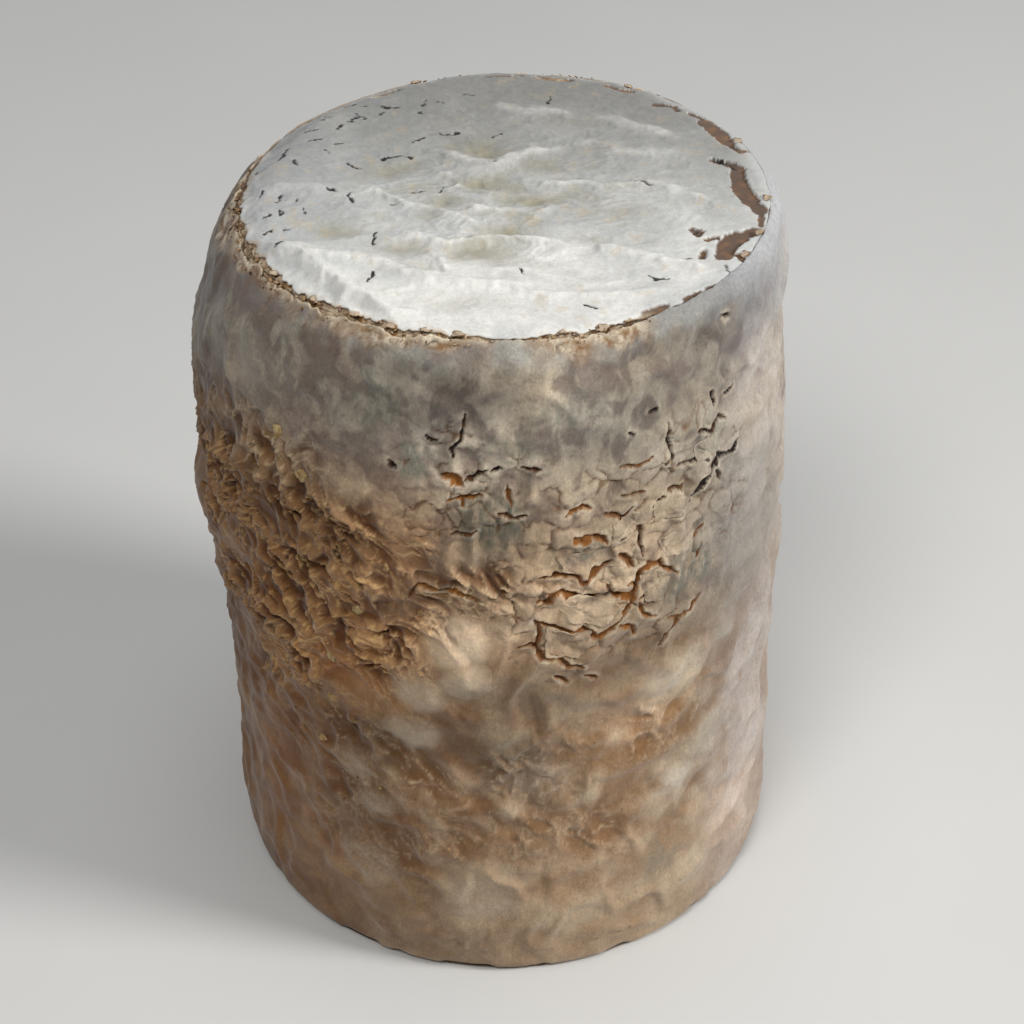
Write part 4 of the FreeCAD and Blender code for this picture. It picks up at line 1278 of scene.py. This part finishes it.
def add_skin_patch(pile, middle, height, reach, lift_of, colour_of, thick, fineness):
    """A closed scab that follows the side skin. reach(turn) is its outline about its middle."""
    rings, segments = fineness
    turn = all_round(segments)
    outline = reach(turn)
    share = (np.arange(rings) + 1) / rings
    along = np.append((share[:, None] * outline * np.cos(turn)).ravel(), 0.0)
    up = np.append((share[:, None] * outline * np.sin(turn)).ravel(), 0.0)
    shares = np.append(np.repeat(share, segments), 0.0)
    azimuth = math.radians(middle) + along / RADIUS
    points, normals, base, paint = side_surface(azimuth, height + up, False)
    lift = base + lift_of(shares, points)
    top = points + normals * lift[:, None]
    under = points + normals * (lift - thick * (1 - 0.55 * shares ** 4))[:, None]
    close_scab(pile, top, under, colour_of(paint, shares, points), mix(paint, BROWN, 0.85), fineness)


PLATES = [
    [(9.5, 56.2), (14, 55.2), (18.6, 54.6), (19.2, 52.4), (15.5, 50.6), (9.2, 51.6)],
    [(10.5, 59.6), (16, 60.2), (24.5, 57.6), (25.5, 56.6), (20.5, 54.4), (14, 56.4)],
    [(28.2, 60.6), (32, 60.8), (35, 58.6), (33.5, 55.6), (29, 56.4)],
    [(21.5, 63.2), (25.5, 62.6), (26.5, 60.6), (24, 59.4), (20.5, 60.8)],
    [(12, 65.6), (19, 66.2), (21, 63.8), (17.5, 62.6), (13, 63.6)],
    [(22, 69.0), (28.5, 69.6), (28, 66.6), (22.5, 66.2)],
    [(31, 69.6), (39, 69.2), (38, 66.4), (31.5, 66.6)],
    [(40.5, 74.6), (47, 75.0), (46, 72.6), (41, 72.2)],
    [(32, 64.2), (38.5, 64.8), (39.5, 61.4), (34, 61.6)],
]


def polygon_reach(corners, middle, height, seed):
    """A plate's outline as a distance for each direction, with broken edges."""
    xs = np.array([math.radians(a - middle) * RADIUS for a, _ in corners])
    ys = np.array([z - height for _, z in corners])

    def reach(turn):
        found = np.full(turn.shape, 1e3)
        for k in range(len(xs)):
            ax, ay = xs[k], ys[k]
            bx, by = xs[(k + 1) % len(xs)] - ax, ys[(k + 1) % len(xs)] - ay
            across = np.cos(turn) * by - np.sin(turn) * bx
            across = np.where(np.abs(across) < 1e-9, 1e-9, across)
            far = (ax * by - ay * bx) / across
            share = (ax * np.sin(turn) - ay * np.cos(turn)) / across
            hit = (far > 0) & (share >= 0) & (share <= 1)
            found = np.where(hit, np.minimum(found, far), found)
        found = np.where(found > 100, 0.5, found)
        return found * (0.90 + 0.22 * rough_ring(turn, seed * 2.3, 0.9, 4, 180, 0.75))
    return reach


def crack_plates(material):
    pile = Pile()
    for k, corners in enumerate(PLATES):
        middle = sum(c[0] for c in corners) / len(corners)
        height = sum(c[1] for c in corners) / len(corners)

        def lift(shares, points, k=k):
            curled = 0.16 * smooth(noise(points, 2.2, 183 + k), -0.3, 0.6)
            return 0.04 + curled * shares ** 3

        def colour(paint, shares, points):
            edge_tone = 0.5 * shares ** 10 * smooth(noise(points, 1.3, 187), -0.1, 0.4)
            return mix(mix(paint, BONE, 0.12), LIP_CREAM, edge_tone)
        reach = polygon_reach(corners, middle, height, k)
        add_skin_patch(pile, middle, height, reach, lift, colour, 0.38, (18, 64))
    return pile.build("crack_plate_scales", material, "plate_skin", "crack_plates")


def mould_puffs(material):
    pile = Pile()
    for k, (middle, height, wide, tall) in enumerate(PUFFS):
        def reach(turn, k=k, wide=wide, tall=tall):
            oval = 1.45 / np.hypot(np.cos(turn) / wide, np.sin(turn) / tall)
            return oval * (1 + 0.16 * rough_ring(turn, k, 1.6, 3, 190))

        def lift(shares, points):
            dome = (1 - shares ** 2) ** 2
            return -0.10 + 0.50 * dome * (1 + 0.30 * noise(points, 2.0, 193))

        def colour(paint, shares, points):
            body = (1 - shares ** 2) * (1 + 0.5 * fractal(points, 1.2, 3, 196))
            return mix(paint, TUFT_WHITE, smooth(body, 0.2, 1.3) * 0.35)
        add_skin_patch(pile, middle, height, reach, lift, colour, 0.3, (36, 120))
    return pile.build("mould_puff_tufts", material, "mould_tuft", "mould_puffs")


FLAKES = [
    (26.5, 3.4, 34), (21.0, 2.6, 20), (13.5, 2.4, 26), (-8.0, 2.8, 24), (-14.5, 2.2, 30),
    (-22.0, 2.4, 22), (-30.5, 2.6, 28), (-41.0, 2.4, 20), (-55.0, 2.2, 26), (62.0, 2.4, 22),
    (71.0, 2.0, 30), (86.0, 2.2, 20), (112.0, 2.2, 24), (148.0, 2.0, 22), (-160.0, 2.2, 20),
]


def add_flake(pile, place, normal, width, length, tilt, colours, seed, spin=0.0):
    """A thin brittle flake, hinged at its inner edge, that curls up and out."""
    fineness = rings, segments = 7, 30
    turn = all_round(segments)
    outline = 1 + 0.85 * rough_ring(turn, seed * 1.9, 0.9, 4, 200, 0.75)
    share = np.append(np.repeat((np.arange(rings) + 1) / rings, segments), 0.0)
    spread = np.arange(1, rings + 1)[:, None] / rings * outline
    u = np.append((spread * np.cos(turn)).ravel(), 0.0) * width / 2
    v = np.append((spread * np.sin(turn)).ravel(), 0.0) * length / 2
    out = v + length * 0.35
    rising = 0.6 * math.tan(math.radians(tilt)) * np.maximum(out, -0.2) + 0.10 * out ** 2 - 0.10 * u ** 2
    flat = np.stack([u, v, 0 * u], -1)
    rising = rising + 0.22 * noise(flat + seed, 0.8, 205)
    along, up = tangents(normal, spin)
    thick = 0.10 * (1 - 0.6 * share ** 3)
    top = place + u[:, None] * along + v[:, None] * -up + (rising + 0.05)[:, None] * normal
    under = top - thick[:, None] * normal
    grain = fractal(flat + seed, 0.7, 3, 206)
    shade = mix(colours[1], colours[0], smooth(share + 0.5 * grain, 0.6, 1.05))
    close_scab(pile, top, under, shade, mix(shade, colours[0], 0.8), fineness, mirrored=True)


def rim_place(degrees, drop):
    """A place on the shoulder, a distance outside the tear, with its normal."""
    azimuth = np.array([math.radians(degrees)])
    shoulder = shoulder_radius(azimuth)
    rise = HEIGHT - shoulder + shoulder * rim_slope(azimuth) - drop - tear_wander(azimuth)
    points, normals = skin_frame(azimuth, rise)
    return points[0], normals[0]


def rim_flakes(material):
    draw = np.random.RandomState(41)
    pale, warm = linear("b5a28c"), linear("6e4c2a")
    pile = Pile()
    for k, (degrees, width, tilt) in enumerate(FLAKES):
        place, normal = rim_place(degrees, -0.4)
        add_flake(pile, place, normal, width * 0.62, 0.9, tilt, (warm, pale), k)
    spans = [(-100, -14, 90), (-14, 2, 12), (6, 32, 18), (140, 200, 12)]
    for start, end, count in spans:
        for _ in range(count):
            degrees = draw.uniform(start, end)
            place, normal = rim_place(degrees, draw.uniform(-0.5, 0.9))
            size = draw.uniform(0.25, 0.65)
            tone = draw.uniform(0, 1)
            colours = (mix(warm, BROWN, tone), mix(pale, OCHRE, draw.uniform(0, 1)))
            add_flake(pile, place, normal, size, size * draw.uniform(0.35, 0.7), draw.uniform(5, 45),
                      colours, 20 + pile.count % 97, draw.uniform(-1.2, 1.2))
    return pile.build("rim_flake_curls", material, "dry_flake", "rim_flakes")


def rim_crumbs(material):
    draw = np.random.RandomState(51)
    tones = [(BROWN, OCHRE), (DARK_BROWN, BROWN), (BROWN, TAN), (BROWN, PINK_GREY), (DARK_BROWN, OCHRE)]
    pile = Pile()
    spans = [(-104, -30, 150, 1.6), (-30, -6, 46, 1.0), (6, 31, 34, 0.8), (138, 200, 40, 1.0)]
    for start, end, count, spread in spans:
        for k in range(count):
            place, normal = rim_place(draw.uniform(start, end), draw.uniform(-0.5, spread))
            size = 0.06 + 0.14 * draw.uniform(0, 1) ** 2.5
            stretches = [draw.uniform(low, high) for low, high in ((0.7, 1.5), (0.7, 1.2), (0.4, 0.8))]
            shape = tuple(size * stretch for stretch in stretches)
            sunk = place + normal * (draw.uniform(-0.55, 0.05) + 0.15)
            add_lump(pile, sunk, normal, shape, tones[draw.randint(len(tones))], k, (6, 9))
    return pile.build("rim_crumb_bits", material, "rind_crumb", "rim_crumbs")


# ---- materials ----------------------------------------------------------------------
def set_values(node, **values):
    """Set sockets' constants. Capitals and spaces are put back: base_color is "Base Color"."""
    for name, value in values.items():
        node.inputs[name.replace("_", " ").title().replace("Ior", "IOR")].default_value = value


def add_node(tree, kind, **values):
    node = tree.nodes.new("ShaderNode" + kind)
    set_values(node, **values)
    return node


def new_material(name):
    material = bpy.data.materials.new(name)
    material.use_nodes = True
    tree = material.node_tree
    tree.nodes.clear()
    output = add_node(tree, "OutputMaterial")
    shader = add_node(tree, "BsdfPrincipled")
    tree.links.new(shader.outputs["BSDF"], output.inputs["Surface"])
    return material, tree, shader


def coordinates(tree, stretch=(1.0, 1.0, 1.0)):
    place = add_node(tree, "TexCoord")
    scale = add_node(tree, "Mapping", scale=stretch)
    tree.links.new(place.outputs["Object"], scale.inputs["Vector"])
    return scale.outputs["Vector"]


def noise_node(tree, vector, size_mm, detail, distortion=0.0):
    node = add_node(tree, "TexNoise", scale=1.0 / (size_mm * MM), detail=detail, distortion=distortion)
    tree.links.new(vector, node.inputs["Vector"])
    return node.outputs["Fac"]


def ranged(tree, value, low, high):
    """A noise value stretched onto a range."""
    node = add_node(tree, "MapRange", from_min=0.25, from_max=0.75, to_min=low, to_max=high)
    tree.links.new(value, node.inputs["Value"])
    return node.outputs["Result"]


def multiplied(tree, a, b):
    node = add_node(tree, "Math")
    node.operation = "MULTIPLY"
    tree.links.new(a, node.inputs[0])
    tree.links.new(b, node.inputs[1])
    return node.outputs[0]


def scaled_colour(tree, colour, factor):
    node = add_node(tree, "VectorMath")
    node.operation = "SCALE"
    tree.links.new(colour, node.inputs[0])
    tree.links.new(factor, node.inputs["Scale"])
    return node.outputs["Vector"]


def ramped(tree, value, stops):
    """A noise value turned into colours: (position, linear red, green and blue) for each stop."""
    ramp = add_node(tree, "ValToRGB")
    for element, (position, colour) in zip(ramp.color_ramp.elements, stops):
        element.position = position
        element.color = (*colour, 1)
    tree.links.new(value, ramp.inputs["Fac"])
    return ramp.outputs["Color"]


def bumped(tree, heights, shader):
    """Stacked bumps: (height socket, strength, depth in millimetres)."""
    previous = None
    for height, strength, depth in heights:
        bump = add_node(tree, "Bump", strength=strength, distance=depth * MM)
        tree.links.new(height, bump.inputs["Height"])
        if previous is not None:
            tree.links.new(previous, bump.inputs["Normal"])
        previous = bump.outputs["Normal"]
    tree.links.new(previous, shader.inputs["Normal"])


def painted(name, fibre, grain_size, contrast, rough, sheen, subsurface, depth):
    """A dry food surface: its painted tint, broken up by grain and by fine upright fibres."""
    material, tree, shader = new_material(name)
    tint = add_node(tree, "Attribute")
    tint.attribute_name = "paint"
    grain = noise_node(tree, coordinates(tree), grain_size, 5.0, 0.3)
    strands = noise_node(tree, coordinates(tree, fibre), grain_size * 0.55, 4.0, 0.5)
    factor = multiplied(tree, ranged(tree, grain, 1 - contrast, 1 + contrast),
                        ranged(tree, strands, 1 - contrast * 0.7, 1 + contrast * 0.7))
    tree.links.new(scaled_colour(tree, tint.outputs["Color"], factor), shader.inputs["Base Color"])
    tree.links.new(ranged(tree, grain, rough - 0.10, rough + 0.06), shader.inputs["Roughness"])
    set_values(shader, specular_ior_level=0.22, sheen_weight=sheen, sheen_roughness=0.55,
               subsurface_weight=subsurface, subsurface_radius=(1.0, 0.75, 0.5), subsurface_scale=0.6 * MM)
    bumped(tree, [(grain, 0.55, depth), (strands, 0.5, depth * 0.6)], shader)
    return material


def inner_material(name, pale, dark, patch_mm, grain_mm, rough, subsurface):
    """Solid curd: cloudy patches with a fine grain."""
    material, tree, shader = new_material(name)
    where = coordinates(tree)
    cloud = noise_node(tree, where, patch_mm, 4.0, 0.8)
    grain = noise_node(tree, where, grain_mm, 6.0)
    colour = ramped(tree, cloud, [(0.30, linear(dark)), (0.70, linear(pale))])
    factor = ranged(tree, grain, 0.88, 1.10)
    tree.links.new(scaled_colour(tree, colour, factor), shader.inputs["Base Color"])
    tree.links.new(ranged(tree, grain, rough - 0.1, rough + 0.1), shader.inputs["Roughness"])
    set_values(shader, subsurface_weight=subsurface, subsurface_scale=1.5 * MM)
    bumped(tree, [(grain, 0.5, 0.15)], shader)
    return material


UPRIGHT = (1.0, 1.0, 0.22)
EVEN = (1.0, 1.0, 1.0)

side_material = painted("side skin", UPRIGHT, 0.32, 0.17, 0.90, 0.20, 0.06, 0.08)
top_material = painted("top skin", EVEN, 0.26, 0.09, 0.86, 0.22, 0.08, 0.06)
base_material = painted("base skin", EVEN, 0.5, 0.2, 0.9, 0.1, 0.05, 0.10)
plate_material = painted("plate skin", UPRIGHT, 0.32, 0.17, 0.86, 0.12, 0.06, 0.08)
knob_material = painted("curd knob", EVEN, 0.45, 0.26, 0.80, 0.05, 0.08, 0.12)
tuft_material = painted("mould tuft", UPRIGHT, 0.32, 0.12, 0.92, 0.24, 0.08, 0.08)
flake_material = painted("dry flake", EVEN, 0.25, 0.22, 0.70, 0.05, 0.15, 0.06)
crumb_material = painted("rind crumb", EVEN, 0.22, 0.30, 0.72, 0.0, 0.08, 0.08)
rind_material = painted("rind", EVEN, 0.40, 0.28, 0.78, 0.0, 0.05, 0.10)

paste_material = inner_material("paste", "efe6d2", "dccfb2", 5.0, 0.5, 0.75, 0.2)
cream_material = inner_material("cream", "dcc592", "c3a871", 4.0, 0.8, 0.35, 0.35)


# ---- stage, lights and camera -------------------------------------------------------
def floor():
    material, tree, shader = new_material("pale floor")
    grain = noise_node(tree, coordinates(tree), 40.0, 3.0)
    colour = ramped(tree, grain, [(0.0, (0.60, 0.60, 0.59)), (1.0, (0.64, 0.64, 0.63))])
    tree.links.new(colour, shader.inputs["Base Color"])
    set_values(shader, roughness=0.9)
    half = 4.0
    corners = [(-half, -half, 0), (half, -half, 0), (half, half, 0), (-half, half, 0)]
    mesh = bpy.data.meshes.new("floor")
    mesh.from_pydata(corners, [], [(0, 1, 2, 3)])
    mesh.materials.append(material)
    plane = bpy.data.objects.new("floor", mesh)
    bpy.context.collection.objects.link(plane)


def soft_light(name, place, size, power, colour=(1, 1, 1)):
    data = bpy.data.lights.new(name, "AREA")
    data.shape = "DISK"
    data.size = size
    data.energy = power
    data.color = colour
    lamp = bpy.data.objects.new(name, data)
    lamp.location = place
    target = Vector((0, 0, HEIGHT * MM * 0.55))
    lamp.rotation_euler = (target - Vector(place)).to_track_quat("-Z", "Y").to_euler()
    bpy.context.collection.objects.link(lamp)


def lights():
    soft_light("key", (0.72, -0.22, 0.54), 0.26, 6.6, (1.0, 0.985, 0.96))
    soft_light("front", (-0.16, -0.46, 0.74), 0.30, 3.2, (1.0, 0.99, 0.97))
    soft_light("sky", (0.0, 0.0, 0.90), 0.45, 1.9, (0.97, 0.98, 1.0))
    world = bpy.data.worlds.new("studio")
    world.use_nodes = True
    set_values(world.node_tree.nodes["Background"], color=(0.80, 0.82, 0.85, 1), strength=0.05)
    bpy.context.scene.world = world


CAMERA_BACK = 257.2       # from the drum's axis
CAMERA_UP = 240.8
CAMERA_PITCH = 37.15
CAMERA_TURN = 0.22
LENS = 91.4
SENSOR = 36.0


def camera():
    data = bpy.data.cameras.new("camera")
    data.lens = LENS
    data.sensor_width = SENSOR
    data.clip_start = 0.01
    eye = bpy.data.objects.new("camera", data)
    eye.location = (FOOT.x * MM, (FOOT.y - CAMERA_BACK) * MM, CAMERA_UP * MM)
    tilt = Euler((math.radians(90 - CAMERA_PITCH), 0, math.radians(-CAMERA_TURN)))
    eye.rotation_euler = tilt
    bpy.context.collection.objects.link(eye)
    bpy.context.scene.camera = eye


side_skin(side_material)
top_skin(top_material)
bottom_skin(base_material)
side_rind(rind_material)
top_rind(rind_material)
bottom_rind(rind_material)
inner_body("creamline_body", "creamline", "cream", cream_material, UNDER_RIND)
inner_body("paste_core_body", "paste_core", "paste", paste_material, UNDER_CREAM)
curd_nodules(knob_material)
crack_plates(plate_material)
mould_puffs(tuft_material)
rim_flakes(flake_material)
rim_crumbs(crumb_material)
floor()
lights()
camera()
bpy.context.scene.view_settings.view_transform = "Standard"
